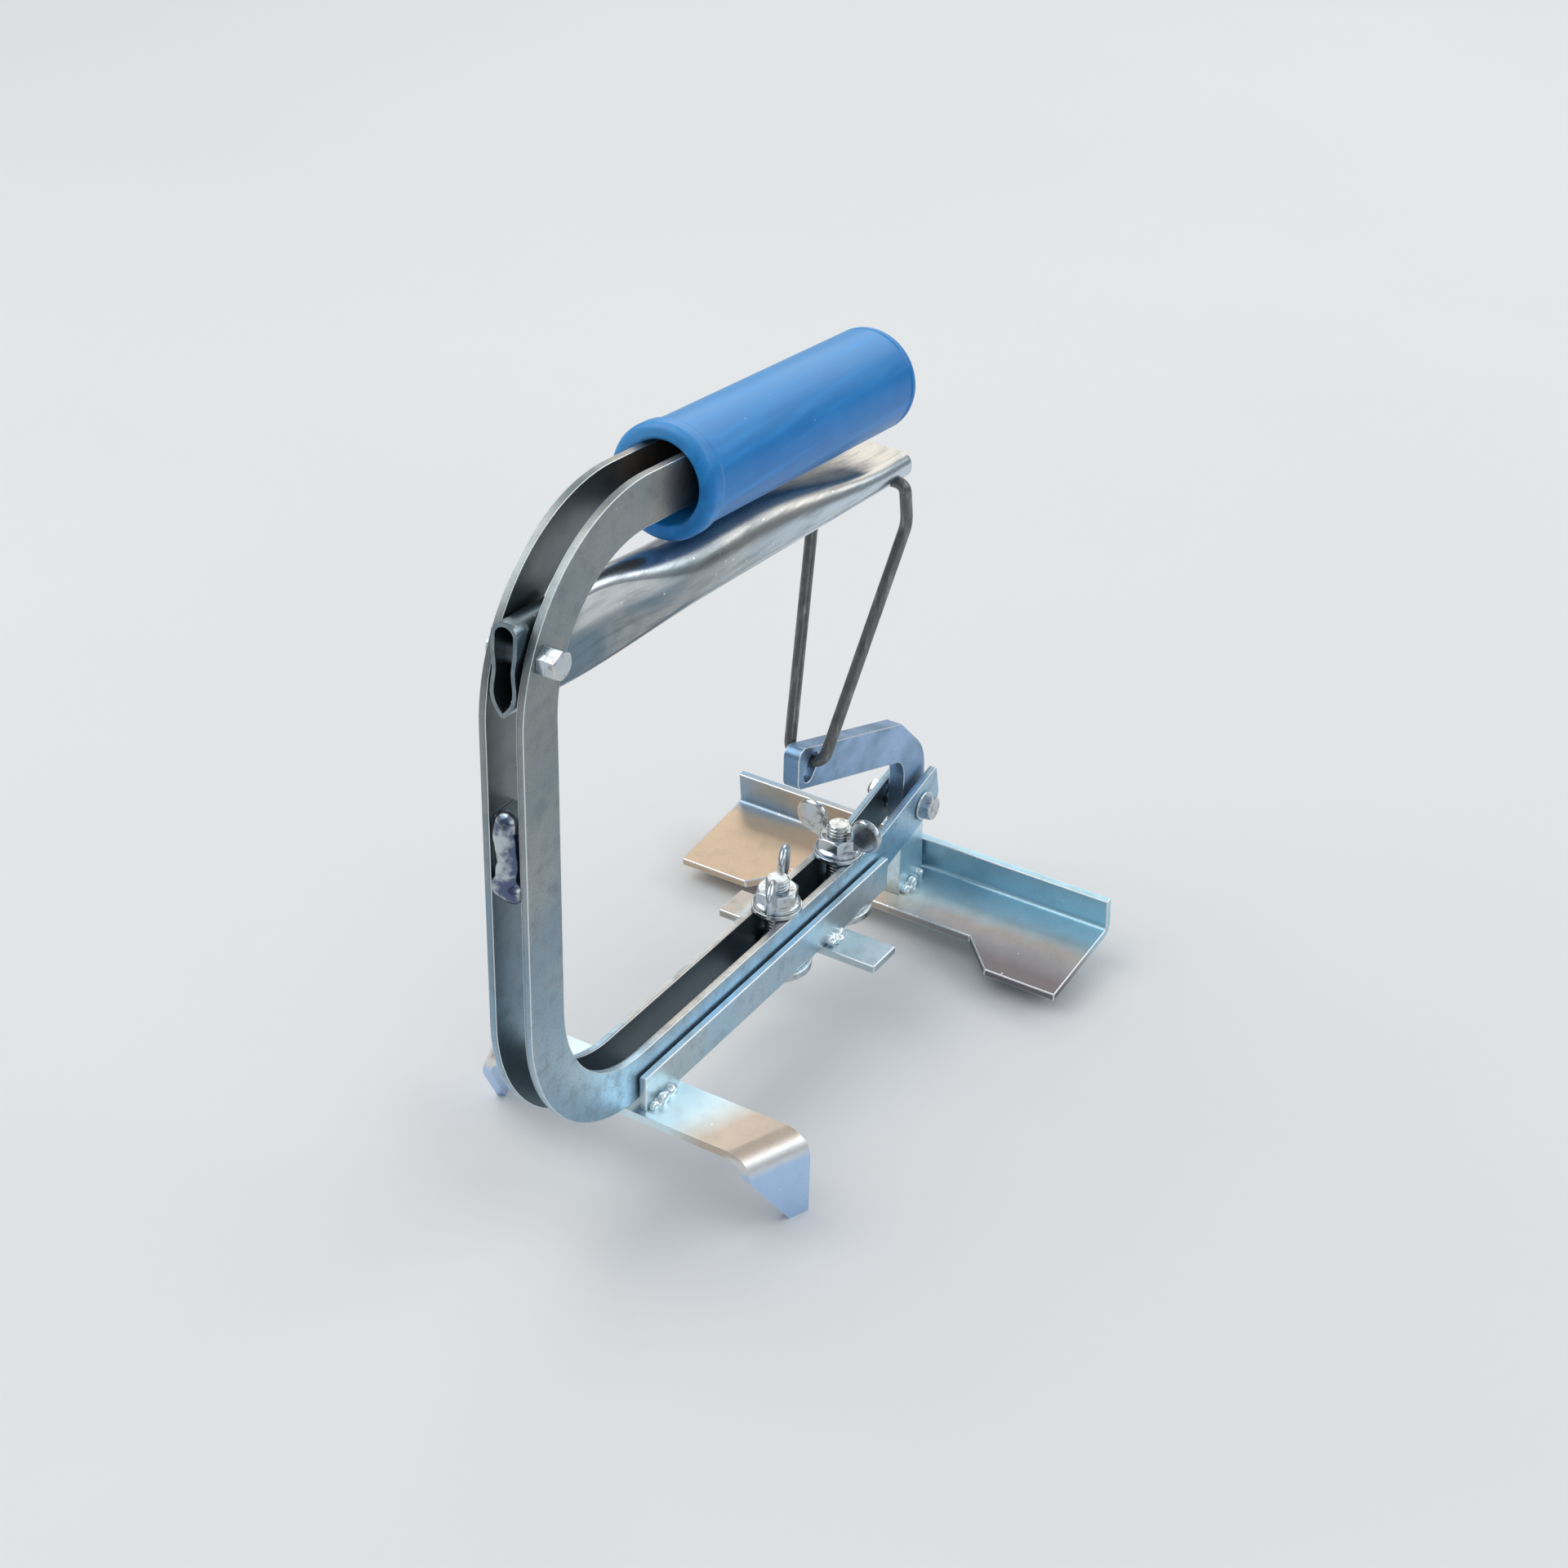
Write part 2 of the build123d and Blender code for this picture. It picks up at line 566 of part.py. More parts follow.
def pivot_set(y, z, width, collar_h, nut_h):
    """Bolt, washers, nut and bush of a pivot across both cheeks, with the head on the right.
    Head and nut sit on washers, or with a collar height the head sits on a hexagon and the nut on
    the cheek. A narrow piece, of the given width, also gets a spacer ring on each side."""
    nut_x = cheek_out + (0 if collar_h else PIVOT_WASHER_T)
    head_x = cheek_out + (collar_h or PIVOT_WASHER_T)
    end_x = nut_x + nut_h + (0 if collar_h else PIVOT_END)
    at = Pos(0, y, z) * Rot(0, 90, 0)
    bolt = Pos(0, 0, head_x) * hexagon(PIVOT_AF, PIVOT_HEAD_H)
    bolt += Pos(0, 0, -end_x) * disc(PIVOT_D, end_x + head_x)
    bore = PIVOT_D + 2 * BOLT_PLAY
    ring = disc(PIVOT_WASHER_D, PIVOT_WASHER_T) - disc(bore, PIVOT_WASHER_T)
    collar = hexagon(PIVOT_AF, collar_h) - disc(bore, collar_h) if collar_h else ring
    rings = [Pos(0, 0, cheek_out) * collar]
    if not collar_h:
        rings.append(Pos(0, 0, -nut_x) * ring)
    spacer_t = (PLATE_GAP - width) / 2 - SPACER_PLAY
    if spacer_t > PIVOT_WASHER_T:
        spacer = disc(PIVOT_WASHER_D, spacer_t) - disc(BUSH_D + 2 * PIVOT_FIT, spacer_t)
        rings += [Pos(0, 0, PLATE_GAP / 2 - spacer_t) * spacer, Pos(0, 0, -PLATE_GAP / 2) * spacer]
    washers = Compound(children=rings)
    nut = hexagon(PIVOT_AF, nut_h) - disc(PIVOT_D, nut_h)
    nut = Pos(0, 0, -nut_x - nut_h) * nut
    bush = Pos(0, 0, -PLATE_GAP / 2) * (disc(BUSH_D, PLATE_GAP) - disc(bore, PLATE_GAP))
    return {"bolt": at * bolt, "washers": at * washers, "nut": at * nut, "bush": at * bush}


def build_pieces():
    """Every piece of the clamp by its name, where it stands with the lever squeezed."""
    cheek_x = PLATE_GAP / 2 + PLATE_T / 2
    cheek = cheek_plate()
    bar = side_bar()
    pieces = {
        "frame_plate_right": Pos(cheek_x, 0, 0) * cheek,
        "frame_plate_left": Pos(-cheek_x, 0, 0) * cheek,
        "column_spacer": column_spacer(),
        "column_weld": column_weld(),
        "grip": grip(),
        "lever_tube": lever_tube(),
        "link_wire": link_wire(),
        "rocker_plate": rocker_plate(),
        "rear_jaw": rear_jaw(),
        "rear_jaw_welds": rear_jaw_welds(),
        "front_jaw_strip": front_jaw_strip(),
        "side_bar_right": bar,
        "side_bar_left": mirror(bar, about=Plane.YZ),
        "cross_strip": cross_strip(),
        "carriage_welds": carriage_welds(),
    }
    for name, y, turn in (
        ("front", clamp_front_y, WING_TURN_FRONT),
        ("rear", clamp_rear_y, WING_TURN_REAR),
    ):
        pieces[f"clamp_bolt_{name}"] = clamp_bolt(y)
        pieces[f"clamp_washer_{name}"] = clamp_washer(y)
        pieces[f"wing_nut_{name}"] = wing_nut(y, turn)
    for name, y, z, width, collar_h, nut_h in (
        ("lever", lever_pivot_y, lever_pivot_z, FLAT_T, LEVER_COLLAR_H, LEVER_NUT_H),
        ("rocker", rocker_y, ROCKER_Z, ROCKER_T, 0, PIVOT_NUT_H),
    ):
        for item, shape in pivot_set(y, z, width, collar_h, nut_h).items():
            label = f"{name}_bush" if item == "bush" else f"{name}_pivot_{item}"
            pieces[label] = shape
    return pieces


if __name__ == "__main__":
    os.makedirs("parts", exist_ok=True)
    for node, shape in build_pieces().items():
        export_step(to_part_frame * shape, f"parts/{node}.step")
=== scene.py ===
import json
from math import cos, pi, radians, sin, tan

import bmesh
import bpy
from bpy.props import FloatProperty, FloatVectorProperty, IntProperty, PointerProperty
from mathutils import Matrix, Vector


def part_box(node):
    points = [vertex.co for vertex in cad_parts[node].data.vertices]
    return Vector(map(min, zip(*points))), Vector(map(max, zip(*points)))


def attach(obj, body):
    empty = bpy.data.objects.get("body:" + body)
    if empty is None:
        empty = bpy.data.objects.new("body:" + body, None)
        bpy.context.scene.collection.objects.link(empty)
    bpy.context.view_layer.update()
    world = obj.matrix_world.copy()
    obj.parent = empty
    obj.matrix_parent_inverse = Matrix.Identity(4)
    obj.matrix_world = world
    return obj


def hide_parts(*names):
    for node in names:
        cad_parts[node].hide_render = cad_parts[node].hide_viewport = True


bl_info = {
    "name": "Paving block laying clamp",
    "version": (1, 0, 0),
    "blender": (4, 5, 0),
    "location": "View3D > Sidebar > Laying clamp",
    "description": "Dresses the laying clamp: plates, lever tube, wire, threads, welds, finishes",
    "category": "Object",
}

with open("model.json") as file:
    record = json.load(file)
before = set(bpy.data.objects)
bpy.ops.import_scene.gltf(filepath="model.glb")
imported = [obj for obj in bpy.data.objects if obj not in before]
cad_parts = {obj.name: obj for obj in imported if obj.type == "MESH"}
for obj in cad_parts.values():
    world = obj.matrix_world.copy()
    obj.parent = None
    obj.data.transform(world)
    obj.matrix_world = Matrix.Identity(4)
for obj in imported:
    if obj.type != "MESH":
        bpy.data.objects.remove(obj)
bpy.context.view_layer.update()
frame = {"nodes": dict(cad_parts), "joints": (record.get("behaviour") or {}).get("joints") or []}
joints = {joint["name"]: joint for joint in frame["joints"]}

SAME_POINT = 1e-6


def joint_at(name):
    """Place of a joint of the clamp."""
    return Vector(joints[name]["pos_m"])


class Value:
    """A socket's number in a Python expression. Each sign adds one Math node to the socket's tree."""

    def __init__(self, net, socket):
        self.net = net
        self.socket = socket

    def math(self, operation, *numbers):
        return self.net.add("ShaderNodeMath", {"operation": operation}, dict(enumerate(numbers)))

    def __add__(self, other):
        return self.math("ADD", self, other)

    def __radd__(self, other):
        return self.math("ADD", other, self)

    def __sub__(self, other):
        return self.math("SUBTRACT", self, other)

    def __rsub__(self, other):
        return self.math("SUBTRACT", other, self)

    def __mul__(self, other):
        return self.math("MULTIPLY", self, other)

    def __rmul__(self, other):
        return self.math("MULTIPLY", other, self)

    def __truediv__(self, other):
        return self.math("DIVIDE", self, other)

    def __lt__(self, other):
        return self.math("LESS_THAN", self, other)

    def __gt__(self, other):
        return self.math("GREATER_THAN", self, other)

    def __abs__(self):
        return self.math("ABSOLUTE", self)

    def sine(self):
        return self.math("SINE", self)

    def cosine(self):
        return self.math("COSINE", self)

    def fraction(self):
        return self.math("FRACT", self)

    def low(self, other):
        return self.math("MINIMUM", self, other)

    def high(self, other):
        return self.math("MAXIMUM", self, other)

    def ease(self, start, end):
        """0 below start, 1 above end, smooth between them."""
        settings = {"interpolation_type": "SMOOTHSTEP"}
        sockets = {"Value": self, "From Min": start, "From Max": end}
        return self.net.add("ShaderNodeMapRange", settings, sockets)


class Net:
    """Adds nodes to one tree."""

    def __init__(self, tree):
        self.tree = tree

    def add(self, kind, settings=None, sockets=None, out=0):
        """One node: its settings first, then the values or links of its sockets."""
        node = self.tree.nodes.new(kind)
        for name, setting in (settings or {}).items():
            if name == "stops":
                ramp = node.color_ramp.elements
                while len(ramp) < len(setting):
                    ramp.new(1.0)
                for element, (place, colour) in zip(ramp, setting):
                    element.position = place
                    element.color = colour
            else:
                setattr(node, name, setting)
        for name, value in (sockets or {}).items():
            self.feed(node.inputs[name], value)
        return Value(self, node.outputs[out])

    def feed(self, socket, value):
        if isinstance(value, Value):
            self.tree.links.new(value.socket, socket)
        else:
            socket.default_value = value

    def parts(self, vector):
        """X, Y and Z of a vector."""
        return [self.add("ShaderNodeSeparateXYZ", {}, {"Vector": vector}, axis) for axis in "XYZ"]

    def vector(self, x, y, z):
        return self.add("ShaderNodeCombineXYZ", {}, {"X": x, "Y": y, "Z": z})

    def blend(self, share, first, second):
        """Mix of two colours."""
        settings = {"data_type": "RGBA", "blend_type": "MIX"}
        return self.add("ShaderNodeMix", settings, {0: share, 6: first, 7: second}, 2)


class Finish(Net):
    """A surface finish on Object coordinates."""

    def __init__(self, name):
        self.material = bpy.data.materials.new(name + "_finish")
        self.material.use_nodes = True
        super().__init__(self.material.node_tree)
        self.shader = self.tree.nodes["Principled BSDF"]
        self.place = self.add("ShaderNodeTexCoord", out="Object")
        self.edge = self.add("ShaderNodeAttribute", {"attribute_name": "edge"}, out="Fac")

    def stretched(self, scale):
        """Coordinates stretched for a pattern with a grain."""
        return self.add("ShaderNodeMapping", {}, {"Vector": self.place, "Scale": scale})

    def noise(self, scale, detail=2.0, rough=0.5, place=None, twist=0.0):
        sockets = {
            "Vector": place or self.place,
            "Scale": scale,
            "Detail": detail,
            "Roughness": rough,
            "Distortion": twist,
        }
        return self.add("ShaderNodeTexNoise", {}, sockets)

    def specks(self, scale, size, share):
        """Round specks on a share of the cells of a random pattern."""
        sockets = {"Vector": self.place, "Scale": scale}
        near = self.add("ShaderNodeTexVoronoi", {}, sockets, "Distance")
        colour = self.add("ShaderNodeTexVoronoi", {}, sockets, "Color")
        chance = self.add("ShaderNodeSeparateColor", {}, {"Color": colour})
        return (1 - near.ease(size * 0.6, size)) * (chance < share)

    def ramp(self, share, *stops):
        """Colour that changes along a share from 0 to 1."""
        stops = [(place, rgba(colour)) for place, colour in stops]
        return self.add("ShaderNodeValToRGB", {"stops": stops}, {"Fac": share}, "Color")

    def bump(self, height, depth, strength=1.0):
        sockets = {"Strength": strength, "Distance": depth, "Height": height}
        return self.add("ShaderNodeBump", {}, sockets)

    def close(self, **sockets):
        """Sets the shader's sockets by name, with _ for a space."""
        for name, value in sockets.items():
            self.feed(self.shader.inputs[name.replace("_", " ")], value)
        return self.material


def rgba(colour, shade=1.0):
    return (colour[0] * shade, colour[1] * shade, colour[2] * shade, 1.0)


def passivated(name, colours, tint, dirt):
    """Blue-passivated zinc on flat bar: mottling, fine spangle, pale pearls, grime and bare edges.
    The tint gives the plate's colour from its clouds and its X, Y and Z; on the cheeks, rocker, strip
    and jaw it also paints shade, light, highlights and reflections.
    The dirt is the share of mottling."""
    zinc = Finish(name)
    cloud = zinc.noise(21.0, detail=3.0, rough=0.55, twist=0.6)
    mottle = zinc.noise(170.0, detail=4.0, rough=0.62)
    grain = zinc.noise(1500.0, detail=2.0)
    drawn = zinc.noise(60.0, detail=3.0, rough=0.5, place=zinc.stretched((14.0, 1.0, 1.0)))
    body = tint(zinc, cloud, *zinc.parts(zinc.place))
    body = zinc.blend(mottle.ease(0.45, 0.78) * dirt, body, rgba(colours.zinc_dull))
    body = zinc.blend(grain.ease(0.46, 0.62) * (dirt * 0.4), body, rgba(colours.zinc_dull))
    body = zinc.blend(zinc.specks(290.0, size=0.17, share=0.045) * 0.8, body, rgba(colours.pearl_and_highlight))
    body = zinc.blend(zinc.specks(240.0, size=0.15, share=0.14) * dirt, body, rgba(colours.grime))
    body = zinc.blend(zinc.edge * 0.85, body, rgba(colours.zinc_edge))
    rough = 0.24 + 0.20 * mottle + 0.06 * grain - 0.08 * zinc.edge
    height = grain * 0.5 + mottle + drawn * 0.6
    return zinc.close(
        Base_Color=body, Metallic=0.95, Roughness=rough,
        Normal=zinc.bump(height, depth=0.00008, strength=0.7),
    )


def zinc_plate(colours):
    """Pale cool plate of the carriage bars, sandy at the cross strip's left end."""

    def tint(zinc, cloud, x, y, z):
        body = zinc.blend(cloud.ease(0.36, 0.64), rgba(colours.bar_cool), rgba(colours.bar_warm))
        return zinc.blend(1 - x.ease(-0.026, -0.020), body, rgba(colours.bar_sand))

    return passivated("zinc_plate", colours, tint, 0.28)


def zinc_rocker(colours):
    """Bluer plate of the rocker, with lilac patches and painted light that makes its leg paler below
    the pivot.
    """
    pivot = joint_at("rocker_swing").z

    def tint(zinc, cloud, x, y, z):
        body = zinc.blend(cloud.ease(0.38, 0.60), rgba(colours.rocker), rgba(colours.rocker_lilac))
        # Painted light: the leg below the pivot is paler to stand in for light it does not get.
        return zinc.blend(1 - z.ease(pivot - 0.010, pivot + 0.004), body, rgba(colours.pale_tint_and_leg_light))

    return passivated("zinc_rocker", colours, tint, 0.32)


def zinc_cheek(colours):
    """Cheeks of the frame: worn grey above, pale and blue towards the base, painted shade in the gap
    between them, deepest low in the slot, straw along the base's upper edges."""
    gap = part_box("column_spacer")[1].x
    base_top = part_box("clamp_washer_front")[0].z

    def tint(zinc, cloud, x, y, z):
        worn = z.ease(0.12, 0.19)
        pale = 1 - z.ease(0.03, 0.13)
        # Painted shade in the narrow gap between the cheeks, deeper low in the slot.
        slot = 1 - z.ease(0.02, 0.10)
        gap_shade_share = 1 - abs(x).ease(gap + 0.0001, gap + 0.0012)
        straight = y.ease(-0.066, -0.050) * (1 - y.ease(0.050, 0.066))
        rim = z.ease(base_top - 0.0012, base_top - 0.0006) * straight
        body = zinc.blend(cloud.ease(0.36, 0.64), rgba(colours.zinc_cool), rgba(colours.zinc_warm))
        body = zinc.blend(worn * 0.65, body, rgba(colours.zinc_worn))
        body = zinc.blend(pale * 0.85, body, rgba(colours.bar_cool))
        # Painted shade: the faces between the cheeks are darkened, more so low in the slot.
        body = zinc.blend(gap_shade_share * (0.30 + 0.65 * slot), body, rgba(colours.gap_painted_shade))
        return zinc.blend(rim * (0.35 + 0.4 * cloud), body, rgba(colours.tint_straw))

    return passivated("zinc_cheek", colours, tint, 0.5)


def zinc_strip(colours):
    """Front jaw: pale blue beside the weld, cream further out that is partly a painted warm reflection,
    a painted highlight along the bend and lilac ears.
    """
    low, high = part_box("front_jaw_strip")
    slant = 0.4

    def tint(zinc, cloud, x, y, z):
        out = (abs(x) - (y - low.y) * slant) / high.x
        # The cream further out is partly the plating's tint and partly a painted warm reflection.
        body = zinc.ramp(
            out + (cloud - 0.5) * 0.2,
            (0.0, colours.pale_tint_and_leg_light),
            (0.34, colours.pale_tint_and_leg_light),
            (0.56, colours.cream_tint_and_reflection),
            (0.80, colours.cream_tint_and_reflection),
        )
        near = out.ease(0.66, 0.74)
        # Painted highlight: a pale band along the ears' bend; the ears below it take the lilac tint.
        bend = near * (1 - z.ease(high.z - 0.0032, high.z - 0.0008))
        ear = near * (1 - z.ease(high.z - 0.0085, high.z - 0.0045))
        # Painted highlight along the bend.
        body = zinc.blend(bend * 0.8, body, rgba(colours.pearl_and_highlight))
        return zinc.blend(ear, body, rgba(colours.lilac_and_lip_highlight))

    return passivated("zinc_strip", colours, tint, 0.08)


def zinc_jaw(colours):
    """Rear jaw: sky blue along its bend, straw and brown towards its front edge, the warm colours
    partly the plating's tint and partly a painted warm reflection.
    """
    low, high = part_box("rear_jaw")

    def tint(zinc, cloud, x, y, z):
        ahead = (high.y - y + cloud * 0.012) / (high.y - low.y)
        # Sand and brown ahead of the bend are partly the plating's tint and partly a painted warm
        # reflection; darker towards the front edge.
        right = zinc.ramp(
            ahead,
            (0.0, colours.tint_sky),
            (0.44, colours.tint_sky),
            (0.66, colours.sand_tint_and_reflection),
            (0.84, colours.brown_tint_and_reflection),
            (1.0, colours.tint_dark),
        )
        left = zinc.ramp(
            ahead,
            (0.0, colours.tint_slate),
            (0.16, colours.tint_slate),
            (0.36, colours.tint_straw),
            (1.0, colours.tint_straw),
        )
        return zinc.blend(x.ease(-0.02, 0.02), left, right)

    return passivated("zinc_jaw", colours, tint, 0.14)


def zinc_tube(colours):
    """Zinc on pressed tube: streaks along it, a painted highlight on the shoulder behind the pivot, a
    painted lilac highlight along the lower lip, a painted warm reflection on top of the tail and
    painted cool reflections on its sides."""
    tube = Finish("zinc_tube")
    lever = bpy.context.scene.clamp_lever
    pivot = joint_at("lever_squeeze")
    _, y, z = tube.parts(tube.place)
    along = y - pivot.y
    above = z - pivot.z + lever.axis_drop + along * tan(lever.fall)
    tail = along.ease(0.05, 0.14)
    top = above.ease(0.001, 0.005)
    # Painted highlight: the upper shoulder a little behind the pivot is lightened as if it caught the
    # light.
    shoulder = top * along.ease(0.010, 0.026) * (1 - along.ease(0.045, 0.080))
    # Painted highlight: a lilac line along the tube's lower lip near the pivot.
    lip = (1 - above.ease(-0.0128, -0.0112)) * along.ease(0.006, 0.014)
    streak = tube.noise(55.0, detail=4.0, rough=0.6, place=tube.stretched((9.0, 0.7, 9.0)))
    cloud = tube.noise(26.0, detail=3.0, rough=0.55, twist=0.5)
    grain = tube.noise(1300.0, detail=2.0)
    body = tube.blend(cloud.ease(0.35, 0.65) * 0.6, rgba(colours.tube_cool), rgba(colours.warm_patch_and_top_reflection))
    # Painted reflections at the tail: warm on top, pale and cool on the sides.
    body = tube.blend(tail * top, body, rgba(colours.warm_patch_and_top_reflection))
    body = tube.blend(tail * (1 - top), body, rgba(colours.tail_side_reflection))
    body = tube.blend(streak.ease(0.45, 0.75) * 0.5, body, rgba(colours.tube_cool, 0.55))
    # Painted highlight on the shoulder, broken by the streaks.
    body = tube.blend(shoulder * (1.1 - streak) * 0.9, body, rgba(colours.pearl_and_highlight))
    # Painted highlight along the lower lip.
    body = tube.blend(lip * 0.8, body, rgba(colours.lilac_and_lip_highlight))
    body = tube.blend(tube.specks(380.0, size=0.18, share=0.12) * 0.6, body, rgba(colours.pearl_and_highlight))
    body = tube.blend(tube.edge * 0.7, body, rgba(colours.zinc_edge))
    rough = 0.12 + 0.18 * streak + 0.06 * grain
    height = streak * 0.8 + grain * 0.3 + cloud * 1.5
    return tube.close(
        Base_Color=body, Metallic=0.95, Roughness=rough,
        Normal=tube.bump(height, depth=0.00008, strength=0.6),
    )


def wire_steel(colours):
    """Dull dark drawn wire with light scrapes along it."""
    wire = Finish("link_wire")
    scrape = wire.noise(190.0, detail=4.0, rough=0.65, place=wire.stretched((4.0, 1.5, 0.4)))
    mottle = wire.noise(210.0, detail=4.0, rough=0.6)
    body = wire.blend(mottle.ease(0.35, 0.7) * 0.7, rgba(colours.wire), rgba(colours.wire, 0.6))
    body = wire.blend(scrape.ease(0.50, 0.74) * 0.4, body, rgba(colours.wire_scrape))
    rough = 0.26 + 0.20 * mottle - 0.08 * scrape
    return wire.close(
        Base_Color=body, Metallic=0.85, Roughness=rough,
        Normal=wire.bump(mottle + scrape, depth=0.00010, strength=0.7),
    )


def grip_plastic(colours):
    """Satin moulded plastic with a painted sheen on its upper side: flow streaks along the sleeve, fine
    skin, a few scuffs.
    """
    grip = Finish("grip_blue")
    flow = grip.noise(60.0, detail=3.0, rough=0.5, place=grip.stretched((6.0, 0.15, 6.0)))
    skin = grip.noise(900.0, detail=3.0, rough=0.6)
    rub = grip.noise(34.0, detail=3.0, rough=0.6)
    low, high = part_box("grip")
    middle = (low + high) / 2
    x, y, z = grip.parts(grip.place)
    fall = bpy.context.scene.clamp_grip.fall
    over = (y - middle.y) * sin(fall) + (z - middle.z) * cos(fall)
    up, left = 0.9, 0.44
    # Painted sheen: the upper left side of the sleeve is lighter, as if it caught the light.
    top_sheen = (over * up - x * left).ease(-0.002, 0.016)
    body = grip.blend(top_sheen * 0.7, rgba(colours.grip), rgba(colours.grip_top_sheen))
    body = grip.blend(rub.ease(0.35, 0.7) * 0.3, body, rgba(colours.grip_light))
    body = grip.blend(flow.ease(0.44, 0.70) * 0.3, body, rgba(colours.grip_light, 1.3))
    body = grip.blend(grip.specks(330.0, size=0.16, share=0.06) * 0.4, body, rgba(colours.grip_scuff))
    rough = 0.22 + 0.16 * flow + 0.06 * skin
    height = skin * 0.5 + flow
    return grip.close(
        Base_Color=body, Roughness=rough, Specular_IOR_Level=0.3,
        Normal=grip.bump(height, depth=0.00006, strength=0.6),
    )


def weld_metal(colours, name="weld_bead", clean=0.54, shade=1.0, dull=0.18):
    """Plated weld metal: bright crests, stained hollows."""
    weld = Finish(name)
    lump = weld.noise(420.0, detail=3.0, rough=0.6)
    stain = weld.noise(150.0, detail=3.0, rough=0.6)
    share = stain.ease(clean, clean + 0.2)
    body = weld.blend(share, rgba(colours.weld, shade), rgba(colours.weld_stain, shade))
    body = weld.blend(weld.specks(600.0, size=0.22, share=0.05) * 0.7, body, rgba(colours.grime))
    rough = dull + 0.20 * lump
    return weld.close(
        Base_Color=body, Metallic=0.9, Roughness=rough,
        Normal=weld.bump(lump, depth=0.0001, strength=0.7),
    )


def weld_dark(colours):
    """The same metal on the column with painted shade: darker and bluer for the shade of the gap."""
    return weld_metal(colours, "weld_dark", clean=0.36, shade=0.62, dull=0.08)


def zinc_fastener(colours):
    """Bright plated bolts, nuts and washers, with grime in patches and a straw tint on the left."""
    bright = Finish("zinc_fastener")
    cloud = bright.noise(70.0, detail=3.0, rough=0.6)
    grime = bright.noise(330.0, detail=4.0, rough=0.65)
    body = bright.blend(cloud.ease(0.35, 0.65), rgba(colours.fastener), rgba(colours.fastener_warm))
    x, _, _ = bright.parts(bright.place)
    left = 1 - x.ease(-0.016, -0.012)
    body = bright.blend(left * 0.7, body, rgba(colours.tint_straw))
    body = bright.blend(grime.ease(0.50, 0.70) * 0.7, body, rgba(colours.grime))
    body = bright.blend(bright.edge * 0.6, body, rgba(colours.zinc_edge))
    rough = 0.10 + 0.26 * grime
    return bright.close(
        Base_Color=body, Metallic=0.95, Roughness=rough,
        Normal=bright.bump(grime, depth=0.00007, strength=0.6),
    )


def bush_steel(colours):
    """Turned steel of the pivot bushes."""
    bush = Finish("bush_steel")
    ring = bush.noise(260.0, detail=3.0, rough=0.6, place=bush.stretched((8.0, 1.0, 1.0)))
    body = bush.blend(ring, rgba(colours.bush, 0.7), rgba(colours.bush))
    return bush.close(
        Base_Color=body, Metallic=1.0, Roughness=0.28 + 0.2 * ring,
        Normal=bush.bump(ring, depth=0.00005, strength=0.5),
    )


FINISHES = {
    "zinc_plate": zinc_plate,
    "zinc_rocker": zinc_rocker,
    "zinc_cheek": zinc_cheek,
    "zinc_strip": zinc_strip,
    "zinc_jaw": zinc_jaw,
    "zinc_tube": zinc_tube,
    "link_wire": wire_steel,
    "grip_blue": grip_plastic,
    "weld_bead": weld_metal,
    "weld_dark": weld_dark,
    "zinc_fastener": zinc_fastener,
    "bush_steel": bush_steel,
}


def finish(name):
    """A finish by its name, made the first time that it is asked for."""
    label = name + "_finish"
    if label not in bpy.data.materials:
        FINISHES[name](bpy.context.scene.clamp_colours)
    return bpy.data.materials[label]


